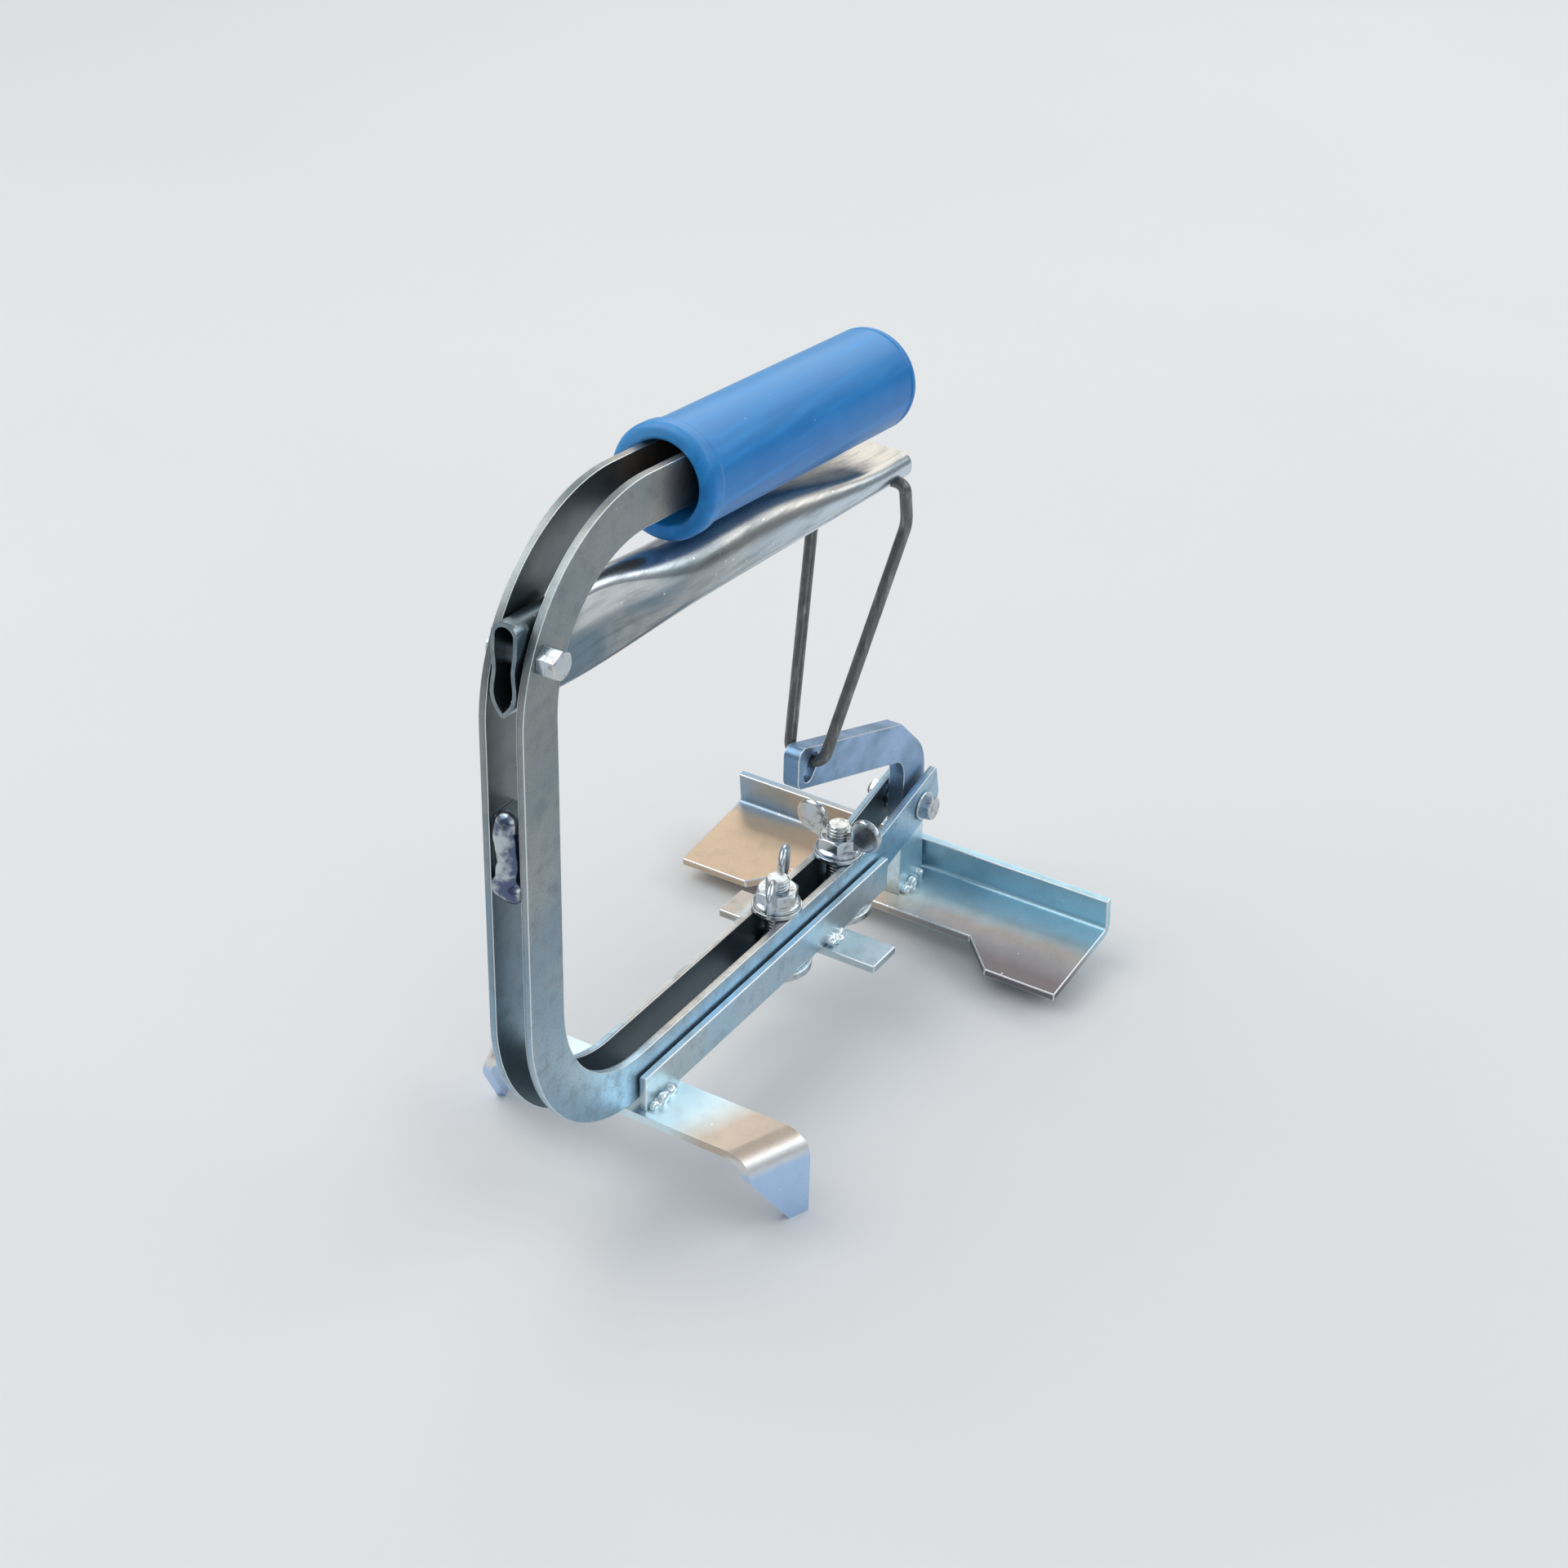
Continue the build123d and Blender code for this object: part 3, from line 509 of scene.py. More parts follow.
class Rule(Net):
    """A geometry-node tree with named inputs and one geometry result."""

    KINDS = {int: "NodeSocketInt", float: "NodeSocketFloat"}

    def __init__(self, name, **inputs):
        super().__init__(bpy.data.node_groups.new(name, "GeometryNodeTree"))
        sockets = self.tree.interface
        sockets.new_socket(name="Geometry", in_out="INPUT", socket_type="NodeSocketGeometry")
        sockets.new_socket(name="Geometry", in_out="OUTPUT", socket_type="NodeSocketGeometry")
        for label, default in inputs.items():
            item = sockets.new_socket(name=label, in_out="INPUT", socket_type=self.KINDS[type(default)])
            item.default_value = default
        self.start = self.tree.nodes.new("NodeGroupInput")
        self.given = Value(self, self.start.outputs["Geometry"])

    def size(self, label):
        return Value(self, self.start.outputs[label])

    def grid(self, count_u, count_v):
        """Flat grid, and the two shares from 0 to 1 of its points."""
        sockets = {"Size X": 1.0, "Size Y": 1.0, "Vertices X": count_u, "Vertices Y": count_v}
        flat = self.add("GeometryNodeMeshGrid", {}, sockets, "Mesh")
        u, v, _ = self.parts(self.add("GeometryNodeInputPosition"))
        return flat, u + 0.5, v + 0.5

    def move(self, geometry, position):
        return self.add("GeometryNodeSetPosition", {}, {"Geometry": geometry, "Position": position})

    def seamless(self, geometry):
        inputs = {"Geometry": geometry, "Distance": SAME_POINT}
        return self.add("GeometryNodeMergeByDistance", {}, inputs)

    def scatter(self, low, high, seed):
        """Random vector between two vectors for each point."""
        sockets = {0: low, 1: high, "Seed": seed}
        return self.add("FunctionNodeRandomValue", {"data_type": "FLOAT_VECTOR"}, sockets)

    def close(self, geometry, slot):
        real = self.add("GeometryNodeRealizeInstances", {}, {"Geometry": geometry})
        dressed = self.add("GeometryNodeSetMaterial", {}, {"Geometry": real, "Material": finish(slot)})
        end = self.tree.nodes.new("NodeGroupOutput")
        self.feed(end.inputs["Geometry"], dressed)
        return self

    def grow(self, given=None, **sizes):
        """Plain mesh that the tree gives for these sizes."""
        obj = placed(self.tree.name, given or bpy.data.meshes.new(self.tree.name))
        modifier = obj.modifiers.new(self.tree.name, "NODES")
        modifier.node_group = self.tree
        for item in self.tree.interface.items_tree:
            if item.in_out == "INPUT" and item.name in sizes:
                modifier[item.identifier] = sizes[item.name]
        return baked(obj)


def placed(name, mesh):
    """Object of a mesh in the scene."""
    obj = bpy.data.objects.new(name, mesh)
    bpy.context.scene.collection.objects.link(obj)
    return obj


def plain_mesh(obj):
    """Mesh of an object with its modifiers applied."""
    bpy.context.view_layer.update()
    graph = bpy.context.evaluated_depsgraph_get()
    return bpy.data.meshes.new_from_object(
        obj.evaluated_get(graph), preserve_all_data_layers=True, depsgraph=graph
    )


def baked(obj, *helpers):
    """Mesh of an object with its modifiers applied. The object and its helpers go."""
    mesh = plain_mesh(obj)
    for leftover in (obj,) + helpers:
        leftover.modifiers.clear()
        bpy.data.objects.remove(leftover)
    return mesh


def as_mesh(name, bm):
    mesh = bpy.data.meshes.new(name)
    bm.to_mesh(mesh)
    bm.free()
    return mesh


def as_bmesh(*meshes):
    """Editable copy of meshes, joined."""
    bm = bmesh.new()
    for mesh in meshes:
        bm.from_mesh(mesh)
    return bm


def joined(*shapes):
    """One bmesh from several, which go."""
    return as_bmesh(*[as_mesh("part", shape) for shape in shapes])


def merged(*nodes):
    """Joined copy of CAD nodes, with flat faces whole again."""
    bm = as_bmesh(*[frame["nodes"][node].data for node in nodes])
    flat = radians(0.6)
    bmesh.ops.remove_doubles(bm, verts=bm.verts, dist=SAME_POINT)
    bmesh.ops.dissolve_limit(bm, angle_limit=flat, verts=bm.verts, edges=bm.edges)
    return bm


def round_edges(bm, radius, segments=3, sharp=28.0):
    """Rounds every edge sharper than a given angle, in degrees, and marks the new faces."""
    mark = bm.faces.layers.float.get("edge") or bm.faces.layers.float.new("edge")
    edges = [e for e in bm.edges if len(e.link_faces) == 2 and e.calc_face_angle() > radians(sharp)]
    made = bmesh.ops.bevel(
        bm,
        geom=edges,
        offset=radius,
        offset_type="OFFSET",
        segments=segments,
        profile=0.5,
        affect="EDGES",
        clamp_overlap=True,
        miter_outer="SHARP",
    )
    for face in made["faces"]:
        face[mark] = 1.0
    return bm


def rings(ring_at, around, count):
    """Closed shape about Z from rings of points, with a pole at each end.
    ring_at gives a ring's radius and height for its number and an angle."""
    bm = bmesh.new()
    rows = []
    turns = [2 * pi * i / around for i in range(around)]
    for number in range(count):
        points = [ring_at(number, turn) for turn in turns]
        if points[0][0] == 0.0:
            rows.append([bm.verts.new((0.0, 0.0, points[0][1]))])
        else:
            rows.append([
                bm.verts.new((radius * cos(turn), radius * sin(turn), height))
                for turn, (radius, height) in zip(turns, points)
            ])
    for low, high in zip(rows, rows[1:]):
        for i in range(around):
            j = (i + 1) % around
            if len(low) == 1:
                bm.faces.new((low[0], high[j], high[i]))
            elif len(high) == 1:
                bm.faces.new((low[i], low[j], high[0]))
            else:
                bm.faces.new((low[i], low[j], high[j], high[i]))
    bmesh.ops.recalc_face_normals(bm, faces=bm.faces)
    return bm


def lathe(profile, around=64):
    """Closed turned shape about Z from radii and heights, from one pole to the other."""
    return rings(lambda number, turn: profile[number], around, len(profile))


def hexagon(across, low, high, around=72):
    """Six-sided body about Z with a turned chamfer on its upper face."""
    land = across * 0.475
    count = 5

    def ring(number, turn):
        corner = across / 2 / cos(turn % (pi / 3) - pi / 6)
        shoulder = high - (corner - land) * tan(pi / 6)
        return ((0.0, low), (corner, low), (corner, shoulder), (land, high), (0.0, high))[number]

    return rings(ring, around, count)


def cast(bm, voxel, smoothing):
    """Overlapping shapes run together into one skin of small cells and smoothed."""
    obj = placed("casting", as_mesh("casting", bm))
    skin = obj.modifiers.new("skin", "REMESH")
    skin.mode = "VOXEL"
    skin.voxel_size = voxel
    soft = obj.modifiers.new("soft", "SMOOTH")
    soft.factor = 0.5
    soft.iterations = smoothing
    return as_bmesh(baked(obj))


def islands(node):
    """Points of each loose part of a CAD node."""
    bm = merged(node)
    seen = set()
    groups = []
    for start in bm.verts:
        if start in seen:
            continue
        seen.add(start)
        waiting = [start]
        group = []
        while waiting:
            vert = waiting.pop()
            group.append(vert.co.copy())
            for edge in vert.link_edges:
                other = edge.other_vert(vert)
                if other not in seen:
                    seen.add(other)
                    waiting.append(other)
        groups.append(group)
    bm.free()
    return groups


def path_mesh(points):
    """Open line of points as a mesh."""
    mesh = bpy.data.meshes.new("path")
    mesh.from_pydata(points, [(i, i + 1) for i in range(len(points) - 1)], [])
    return mesh


def piece(name, source, slot, body, *nodes, weighted=True, look=None):
    """Finished object of a bmesh or mesh: smooth shading, finish, body and the nodes it replaces."""
    if isinstance(source, bmesh.types.BMesh):
        mesh = as_mesh(name, source)
    else:
        mesh = source
        mesh.name = name
    mesh.shade_smooth()
    obj = placed(name, mesh)
    if weighted:
        obj.modifiers.new("weighted", "WEIGHTED_NORMAL").weight = 90
        mesh = plain_mesh(obj)
        obj.modifiers.clear()
        obj.data = mesh
    obj.data.materials.clear()
    obj.data.materials.append(finish(look or slot))
    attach(obj, body)
    if nodes:
        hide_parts(*nodes)
    return obj


def length(name, default, description):
    return FloatProperty(name=name, description=description, default=default, unit="LENGTH")


def angle(name, degrees, description):
    return FloatProperty(name=name, description=description, default=radians(degrees), subtype="ANGLE")


def colour(name, default, description):
    return FloatVectorProperty(name=name, description=description, default=default, subtype="COLOR")


class ClampPlateWork(bpy.types.PropertyGroup):
    edge_radius: length("Plate edge", 0.00045, "Rounding of the plates' edges")
    fastener_radius: length("Fastener edge", 0.00025, "Rounding of bolts, nuts and washers")


class ClampGrip(bpy.types.PropertyGroup):
    long: length("Length", 0.1195, "From the collar's front to the closed end")
    sleeve_d: length("Sleeve", 0.033, "Outside diameter")
    collar_d: length("Collar", 0.035, "Outside diameter of the collar")
    collar_l: length("Collar length", 0.006, "Length of the collar")
    bore_d: length("Bore", 0.02504, "Inside diameter")
    cap_t: length("Cap", 0.003, "Thickness of the closed end")
    end_radius: length("End rounding", 0.003, "Rounding of the closed end")
    rim_in: length("Rim", 0.0048, "Rim line ahead of the closed end")
    rim_depth: length("Rim depth", 0.0003, "Depth of the rim line")
    fall: angle("Fall", 5.5, "Fall of the handle towards the rear")


class ClampLever(bpy.types.PropertyGroup):
    tube_d: length("Tube", 0.0213, "Outside diameter")
    wall: length("Wall", 0.0013, "Wall thickness")
    flat: length("Flat", 0.009, "Thickness where pressed flat")
    mouth: length("Mouth", 0.008, "Pivot to open front end")
    tail: length("Tail", 0.009, "Wire hole to rear end")
    front_flat: length("Front flat", 0.027, "Pivot to the end of the upright flat")
    front_blend: length("Front blend", 0.051, "Length from flat to round")
    rear_flat: length("Rear flat", 0.012, "Length of the level flat")
    rear_blend: length("Rear blend", 0.070, "Length from round to flat")
    axis_drop: length("Axis", 0.0025, "Tube's axis below the pivot")
    fall: angle("Fall", 4.2, "Fall of the squeezed lever towards the rear")
    pinch: FloatProperty(
        name="Pinch", description="Share that the mouth narrows by at its foot", default=0.55,
        subtype="FACTOR",
    )
    bush_hole: length("Bush hole", 0.00812, "Diameter")
    wire_hole: length("Wire hole", 0.0041, "Diameter")


class ClampLink(bpy.types.PropertyGroup):
    wire_d: length("Wire", 0.004, "Diameter")
    tail_x: length("Hook end", 0.008, "Half gap of the hooks' ends")
    kink_back: length("Kink back", 0.0025, "Kink behind the hook")
    kink_down: length("Kink down", 0.0145, "Kink below the hook")
    foot_x: length("Foot", 0.0064, "Half width at the foot")
    bend_top: length("Hook bend", 0.003, "Bend radius")
    bend_kink: length("Kink bend", 0.012, "Bend radius")
    bend_foot: length("Foot bend", 0.005, "Bend radius")


class ClampFasteners(bpy.types.PropertyGroup):
    clamp_d: length("Clamp bolt", 0.008, "Thread diameter")
    clamp_pitch: length("Clamp pitch", 0.00125, "Thread pitch")
    clamp_head_t: length("Clamp head", 0.0028, "Thickness of the flat head")
    clamp_boss_d: length("Clamp boss", 0.015, "Diameter of the boss under the cheeks")
    clamp_boss_h: length("Boss height", 0.0031, "Height of the boss")
    clamp_neck_h: length("Square neck", 0.008, "Height of the square neck")
    pivot_d: length("Pivot bolt", 0.005, "Thread diameter")
    pivot_pitch: length("Pivot pitch", 0.0008, "Thread pitch")
    pivot_across: length("Pivot hexagon", 0.008, "Width across flats")
    pivot_head_h: length("Pivot head", 0.0035, "Height of the head")
    pivot_thread_l: length("Pivot thread", 0.008, "Length of the thread")


class ClampWingNuts(bpy.types.PropertyGroup):
    across: length("Hexagon", 0.013, "Width across flats")
    height: length("Height", 0.0062, "Height of the body")
    skirt_d: length("Skirt", 0.016, "Diameter of the round foot")
    skirt_h: length("Skirt height", 0.0022, "Height of the round foot")
    wing_r: length("Wing", 0.0061, "Radius of a wing")
    wing_t: length("Wing thickness", 0.0026, "Thickness of a wing")
    wing_out: length("Wing reach", 0.011, "Wing's middle from the axis")
    wing_up: length("Wing height", 0.0092, "Wing's middle above the foot")
    turn_front: angle("Front turn", 111.0, "How the front nut is turned")
    turn_rear: angle("Rear turn", -3.5, "How the rear nut is turned")
    grain: length("Grain", 0.00030, "Cell size of the casting's skin")


class ClampWelds(bpy.types.PropertyGroup):
    drop: length("Drop", 0.0020, "Radius of a drop of weld metal")
    step: length("Step", 0.0011, "Distance between drops")
    stray: length("Stray", 0.0009, "Random shift of the drops")
    column_drop: length("Column drop", 0.0042, "Radius of a drop on the column")
    grain: length("Grain", 0.00028, "Cell size of the beads' skin")
    seed: IntProperty(name="Seed", description="Seed of the drops' shifts and sizes", default=7)


class ClampColours(bpy.types.PropertyGroup):
    zinc_cool: colour("Zinc, cool", (0.23, 0.33, 0.41), "Blue passivated plate")
    zinc_warm: colour("Zinc, warm", (0.345, 0.385, 0.40), "Warm patches")
    zinc_worn: colour("Zinc, worn", (0.25, 0.265, 0.25), "Column's top and handle")
    zinc_dull: colour("Zinc, dull", (0.16, 0.19, 0.21), "Dull mottling")
    # Painted shade for the faces in the gap between the cheeks.
    gap_painted_shade: colour("Gap", (0.055, 0.062, 0.066), "Painted shade on the faces between the cheeks")
    # Pale pearls of zinc, and also the painted highlights on the front jaw's bend and the lever's
    # shoulder.
    pearl_and_highlight: colour("Zinc, pearls", (0.86, 0.88, 0.88), "Pale pearls of zinc")
    zinc_edge: colour("Zinc, edges", (0.78, 0.82, 0.84), "Rubbed edges")
    bar_cool: colour("Bars, cool", (0.45, 0.67, 0.84), "Carriage bars and the base of the cheeks")
    bar_warm: colour("Bars, warm", (0.54, 0.65, 0.70), "Warm patches of the carriage bars")
    bar_sand: colour("Bars, sand", (0.44, 0.41, 0.37), "Cross strip's left end")
    rocker: colour("Rocker", (0.17, 0.30, 0.46), "Rocker plate")
    rocker_lilac: colour("Rocker, lilac", (0.34, 0.50, 0.74), "Lilac patches of the rocker")
    # Pale tint of the front jaw beside the weld, and painted light on the rocker's leg.
    pale_tint_and_leg_light: colour("Strip, pale", (0.74, 0.91, 0.97), "Front jaw beside the weld, rocker's leg")
    # Cream tint of the front jaw further out, partly a painted warm reflection.
    cream_tint_and_reflection: colour("Strip, cream", (0.62, 0.52, 0.43), "Front jaw further out")
    tint_straw: colour("Straw", (0.62, 0.48, 0.35), "Rear jaw's left, base's edges, pivots' left ends")
    # Lilac tint of the front jaw's ears, and the painted highlight along the lever's lower lip.
    lilac_and_lip_highlight: colour("Strip, lilac", (0.51, 0.69, 0.95), "Front jaw's ears, lever's lower lip")
    tint_sky: colour("Jaw, sky", (0.46, 0.70, 0.82), "Rear jaw along its bend, right")
    tint_slate: colour("Jaw, slate", (0.19, 0.40, 0.60), "Rear jaw's back, left")
    # Sand tint of the rear jaw ahead of its bend, partly a painted warm reflection.
    sand_tint_and_reflection: colour("Jaw, sand", (0.42, 0.40, 0.385), "Rear jaw ahead of its bend")
    # Brown tint of the rear jaw's front half, partly a painted warm reflection.
    brown_tint_and_reflection: colour("Jaw, brown", (0.28, 0.28, 0.30), "Rear jaw's front half")
    tint_dark: colour("Jaw, dark", (0.20, 0.18, 0.19), "Rear jaw's front edge")
    tube_cool: colour("Tube, cool", (0.15, 0.22, 0.27), "Lever tube")
    # Warm patches of the tube, and the painted warm reflection on the top of its tail.
    warm_patch_and_top_reflection: colour("Tube, warm", (0.54, 0.51, 0.46), "Lever tube's patches and the top of its tail")
    # Painted cool reflection on the sides of the lever's tail.
    tail_side_reflection: colour("Tube, side", (0.58, 0.67, 0.74), "Sides of the lever's tail")
    wire: colour("Wire", (0.17, 0.175, 0.17), "Link wire")
    wire_scrape: colour("Wire, scraped", (0.50, 0.51, 0.50), "Scrapes along the wire")
    grip: colour("Grip", (0.010, 0.165, 0.47), "Moulded grip")
    grip_light: colour("Grip, light", (0.025, 0.27, 0.64), "Flow streaks and rubbed places")
    # Painted sheen on the upper side of the grip sleeve.
    grip_top_sheen: colour("Grip, faded", (0.09, 0.34, 0.68), "Upper side of the grip sleeve")
    grip_scuff: colour("Grip, scuffs", (0.40, 0.47, 0.55), "Scuffs")
    weld: colour("Weld", (0.78, 0.88, 0.92), "Weld metal")
    weld_stain: colour("Weld, stained", (0.15, 0.20, 0.34), "Stained hollows")
    fastener: colour("Fastener", (0.50, 0.60, 0.70), "Bolts and nuts")
    fastener_warm: colour("Fastener, warm", (0.56, 0.58, 0.57), "Warm patches")
    grime: colour("Grime", (0.13, 0.135, 0.14), "Dirt in patches and specks")
    bush: colour("Bush", (0.24, 0.25, 0.27), "Turned steel")
    floor: colour("Floor", (0.72, 0.73, 0.74), "Floor")


class ClampStage(bpy.types.PropertyGroup):
    camera_at: FloatVectorProperty(
        name="Camera", description="Where the camera stands", default=(0.4132, -0.6600, 0.59675),
        subtype="TRANSLATION",
    )
    camera_turn: angle("Turn", 31.041, "Camera's bearing")
    camera_fall: angle("Fall", 31.985, "Camera looks down by this")
    camera_roll: angle("Roll", 1.501, "Camera's roll")
    lens: FloatProperty(
        name="Lens", description="Focal length on a 36 mm sensor", default=67.226, unit="CAMERA"
    )
    sky: FloatProperty(name="Sky", description="Strength of the soft sky", default=0.5)


class CLAMP_OT_plates(bpy.types.Operator):
    """Round the edges of the cheeks, the rocker, the jaws and the carriage's bars"""

    bl_idname = "clamp.plates"
    bl_label = "Plate work"

    PLATES = {
        "frame": ("frame_plate_right", "frame_plate_left", "column_spacer"),
        "rocker": ("rocker_plate", "rear_jaw"),
        "carriage": ("front_jaw_strip", "side_bar_right", "side_bar_left", "cross_strip"),
    }
    LOOKS = {
        "frame_plate_right": "zinc_cheek",
        "frame_plate_left": "zinc_cheek",
        "column_spacer": "zinc_cheek",
        "front_jaw_strip": "zinc_strip",
        "rear_jaw": "zinc_jaw",
        "rocker_plate": "zinc_rocker",
    }

    def execute(self, context):
        edge = context.scene.clamp_plate_work.edge_radius
        for body, nodes in self.PLATES.items():
            for node in nodes:
                plate = round_edges(merged(node), edge)
                piece(node + "_rounded", plate, "zinc_plate", body, node, look=self.LOOKS.get(node))
        return {"FINISHED"}


class CLAMP_OT_grip(bpy.types.Operator):
    """Turn the grip sleeve with its collar, mouth, rim line and closed end"""

    bl_idname = "clamp.grip"
    bl_label = "Grip sleeve"

    def execute(self, context):
        size = context.scene.clamp_grip
        sleeve_r = size.sleeve_d / 2
        collar_r = size.collar_d / 2
        bore_r = size.bore_d / 2
        bead = (collar_r - bore_r) / 2
        lip = bead / 2
        depth = size.long - size.cap_t
        step = collar_r - sleeve_r
        rim = size.long - size.rim_in
        quarter = [radians(turn) for turn in range(0, 91, 15)]
        mouth = [(bore_r + lip - lip * cos(t), lip - lip * sin(t)) for t in quarter]
        collar = [(collar_r - bead + bead * sin(t), bead - bead * cos(t)) for t in quarter]
        end_at = sleeve_r - size.end_radius
        end = [
            (end_at + size.end_radius * cos(t), size.long - size.end_radius + size.end_radius * sin(t))
            for t in quarter
        ]
        profile = [(0.0, depth), (bore_r, depth)] + mouth + collar + [
            (collar_r, size.collar_l),
            (collar_r - step * 0.2, size.collar_l + step * 0.4),
            (sleeve_r + step * 0.3, size.collar_l + step * 1.2),
            (sleeve_r, size.collar_l + step * 2.4),
            (sleeve_r, rim - size.rim_depth),
            (sleeve_r - size.rim_depth, rim),
            (sleeve_r - size.rim_depth, rim + size.rim_depth * 2),
            (sleeve_r, rim + size.rim_depth * 3),
        ] + end + [(0.0, size.long)]
        low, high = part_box("grip")
        back, down = cos(size.fall), sin(size.fall)
        front_y = low.y + bead * (1 - back) + (collar_r - bead) * down
        front_z = high.z + bead * down - (collar_r - bead) * back - bead
        sleeve = lathe(profile, 96)
        at = Matrix.Translation((0.0, front_y, front_z))
        sleeve.transform(at @ Matrix.Rotation(-pi / 2 - size.fall, 4, "X"))
        piece("grip_sleeve", sleeve, "grip_blue", "frame", "grip")
        return {"FINISHED"}


class CLAMP_OT_lever(bpy.types.Operator):
    """Press the lever tube flat upright at its pivot and level at its tail"""

    bl_idname = "clamp.lever"
    bl_label = "Lever tube"

    ALONG, AROUND = 221, 97
    NARROW = 0.30
    WAIST = 0.3
    SHARP = 50.0

    def rule(self):
        rule = Rule(
            "lever_tube_rule",
            Length=0.2, Mouth=0.01, Radius=0.01, Flat=0.004, FrontFlat=0.02, FrontBlend=0.05,
            RearFlat=0.01, RearBlend=0.02, Pinch=0.5, AxisDrop=0.002,
        )
        flat, u, v = rule.grid(self.ALONG, self.AROUND)
        along = u * rule.size("Length") - rule.size("Mouth")
        rear_end = rule.size("Length") - rule.size("Mouth") - rule.size("RearFlat")
        front_end = rule.size("FrontFlat") + rule.size("FrontBlend")
        upright = 1 - along.ease(rule.size("FrontFlat"), front_end)
        level = along.ease(rear_end - rule.size("RearBlend"), rear_end)
        pressed = upright.high(level)
        short = rule.size("Radius") - pressed * (rule.size("Radius") - rule.size("Flat"))
        spread = (rule.size("Radius") - short) * (pi / 2)
        turn = v * (2 * pi)
        side = turn.cosine()
        top = turn.sine()
        side_share = (side / self.NARROW).high(-1.0).low(1.0)
        top_share = (top / self.NARROW).high(-1.0).low(1.0)
        is_level = level > upright
        x = side * short + side_share * spread * is_level
        z = top * short + top_share * spread * (1 - is_level)
        fade = 1 - along.ease(0 - rule.size("Mouth"), rule.size("FrontFlat"))
        waist = 1 - abs(z / rule.size("Radius")).ease(0.0, 0.6)
        foot = (0 - z / rule.size("Radius")).ease(0.7, 1.4)
        x = x * (1 - rule.size("Pinch") * fade * (self.WAIST * waist + foot))
        tube = rule.move(flat, rule.vector(x, along, z - rule.size("AxisDrop")))
        return rule.close(rule.seamless(tube), "zinc_tube")

    def execute(self, context):
        size = context.scene.clamp_lever
        seat = Matrix.Translation(joint_at("lever_squeeze")) @ Matrix.Rotation(-size.fall, 4, "X")
        hook = seat.inverted() @ joint_at("link_swing")
        mesh = self.rule().grow(
            Length=size.mouth + hook.y + size.tail, Mouth=size.mouth, Radius=size.tube_d / 2,
            Flat=size.flat / 2, FrontFlat=size.front_flat, FrontBlend=size.front_blend,
            RearFlat=size.rear_flat, RearBlend=size.rear_blend, Pinch=size.pinch,
            AxisDrop=size.axis_drop,
        )
        skin = as_bmesh(mesh)
        bmesh.ops.recalc_face_normals(skin, faces=skin.faces)
        obj = placed("lever_shell", as_mesh("lever_shell", skin))
        wall = obj.modifiers.new("wall", "SOLIDIFY")
        wall.thickness = size.wall
        wall.offset = -1.0
        drills = []
        for y, z, diameter in ((0.0, 0.0, size.bush_hole), (hook.y, hook.z, size.wire_hole)):
            radius = diameter / 2
            reach = size.tube_d
            drill = lathe([(0.0, -reach), (radius, -reach), (radius, reach), (0.0, reach)])
            drill.transform(Matrix.Translation((0.0, y, z)) @ Matrix.Rotation(pi / 2, 4, "Y"))
            drills.append(placed("drill", as_mesh("drill", drill)))
            hole = obj.modifiers.new("hole", "BOOLEAN")
            hole.operation = "DIFFERENCE"
            hole.solver = "EXACT"
            hole.object = drills[-1]
        shell = as_bmesh(baked(obj, *drills))
        shell.transform(seat)
        edge = context.scene.clamp_plate_work.fastener_radius
        round_edges(shell, edge, segments=2, sharp=self.SHARP)
        piece("lever_tube_pressed", shell, "zinc_tube", "lever", "lever_tube")
        return {"FINISHED"}


class CLAMP_OT_link(bpy.types.Operator):
    """Bend the wire link from its hooks to the bar in the rocker's eye"""

    bl_idname = "clamp.link"
    bl_label = "Wire link"

    BEND_STEPS = 14
    AROUND = 28

    def rule(self):
        rule = Rule("link_wire_rule", Radius=0.002)
        path = rule.add("GeometryNodeMeshToCurve", {}, {"Mesh": rule.given})
        radius = rule.add("GeometryNodeInputNamedAttribute", {"data_type": "FLOAT"}, {"Name": "bend"})
        sockets = {"Curve": path, "Count": self.BEND_STEPS, "Radius": radius, "Limit Radius": True}
        path = rule.add("GeometryNodeFilletCurve", {"mode": "POLY"}, sockets)
        ring = rule.add(
            "GeometryNodeCurvePrimitiveCircle", {"mode": "RADIUS"},
            {"Resolution": self.AROUND, "Radius": rule.size("Radius")},
        )
        sockets = {"Curve": path, "Profile Curve": ring, "Fill Caps": True}
        return rule.close(rule.add("GeometryNodeCurveToMesh", {}, sockets), "link_wire")

    def execute(self, context):
        size = context.scene.clamp_link
        low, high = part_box("link_wire")
        hook = joint_at("link_swing")
        foot = Vector((size.foot_x, low.y + size.wire_d / 2, low.z + size.wire_d / 2))
        top_x = high.x - size.wire_d / 2
        half = [
            (Vector((size.tail_x, hook.y, hook.z)), 0.0),
            (Vector((top_x, hook.y, hook.z)), size.bend_top),
            (Vector((top_x, hook.y + size.kink_back, hook.z - size.kink_down)), size.bend_kink),
            (foot, size.bend_foot),
        ]
        whole = half + [(Vector((-p.x, p.y, p.z)), bend) for p, bend in reversed(half)]
        line = path_mesh([p for p, _ in whole])
        bends = line.attributes.new("bend", "FLOAT", "POINT")
        for i, (_, bend) in enumerate(whole):
            bends.data[i].value = bend
        wire = self.rule().grow(line, Radius=size.wire_d / 2)
        piece("link_wire_bent", wire, "link_wire", "link", "link_wire", weighted=False)
        return {"FINISHED"}


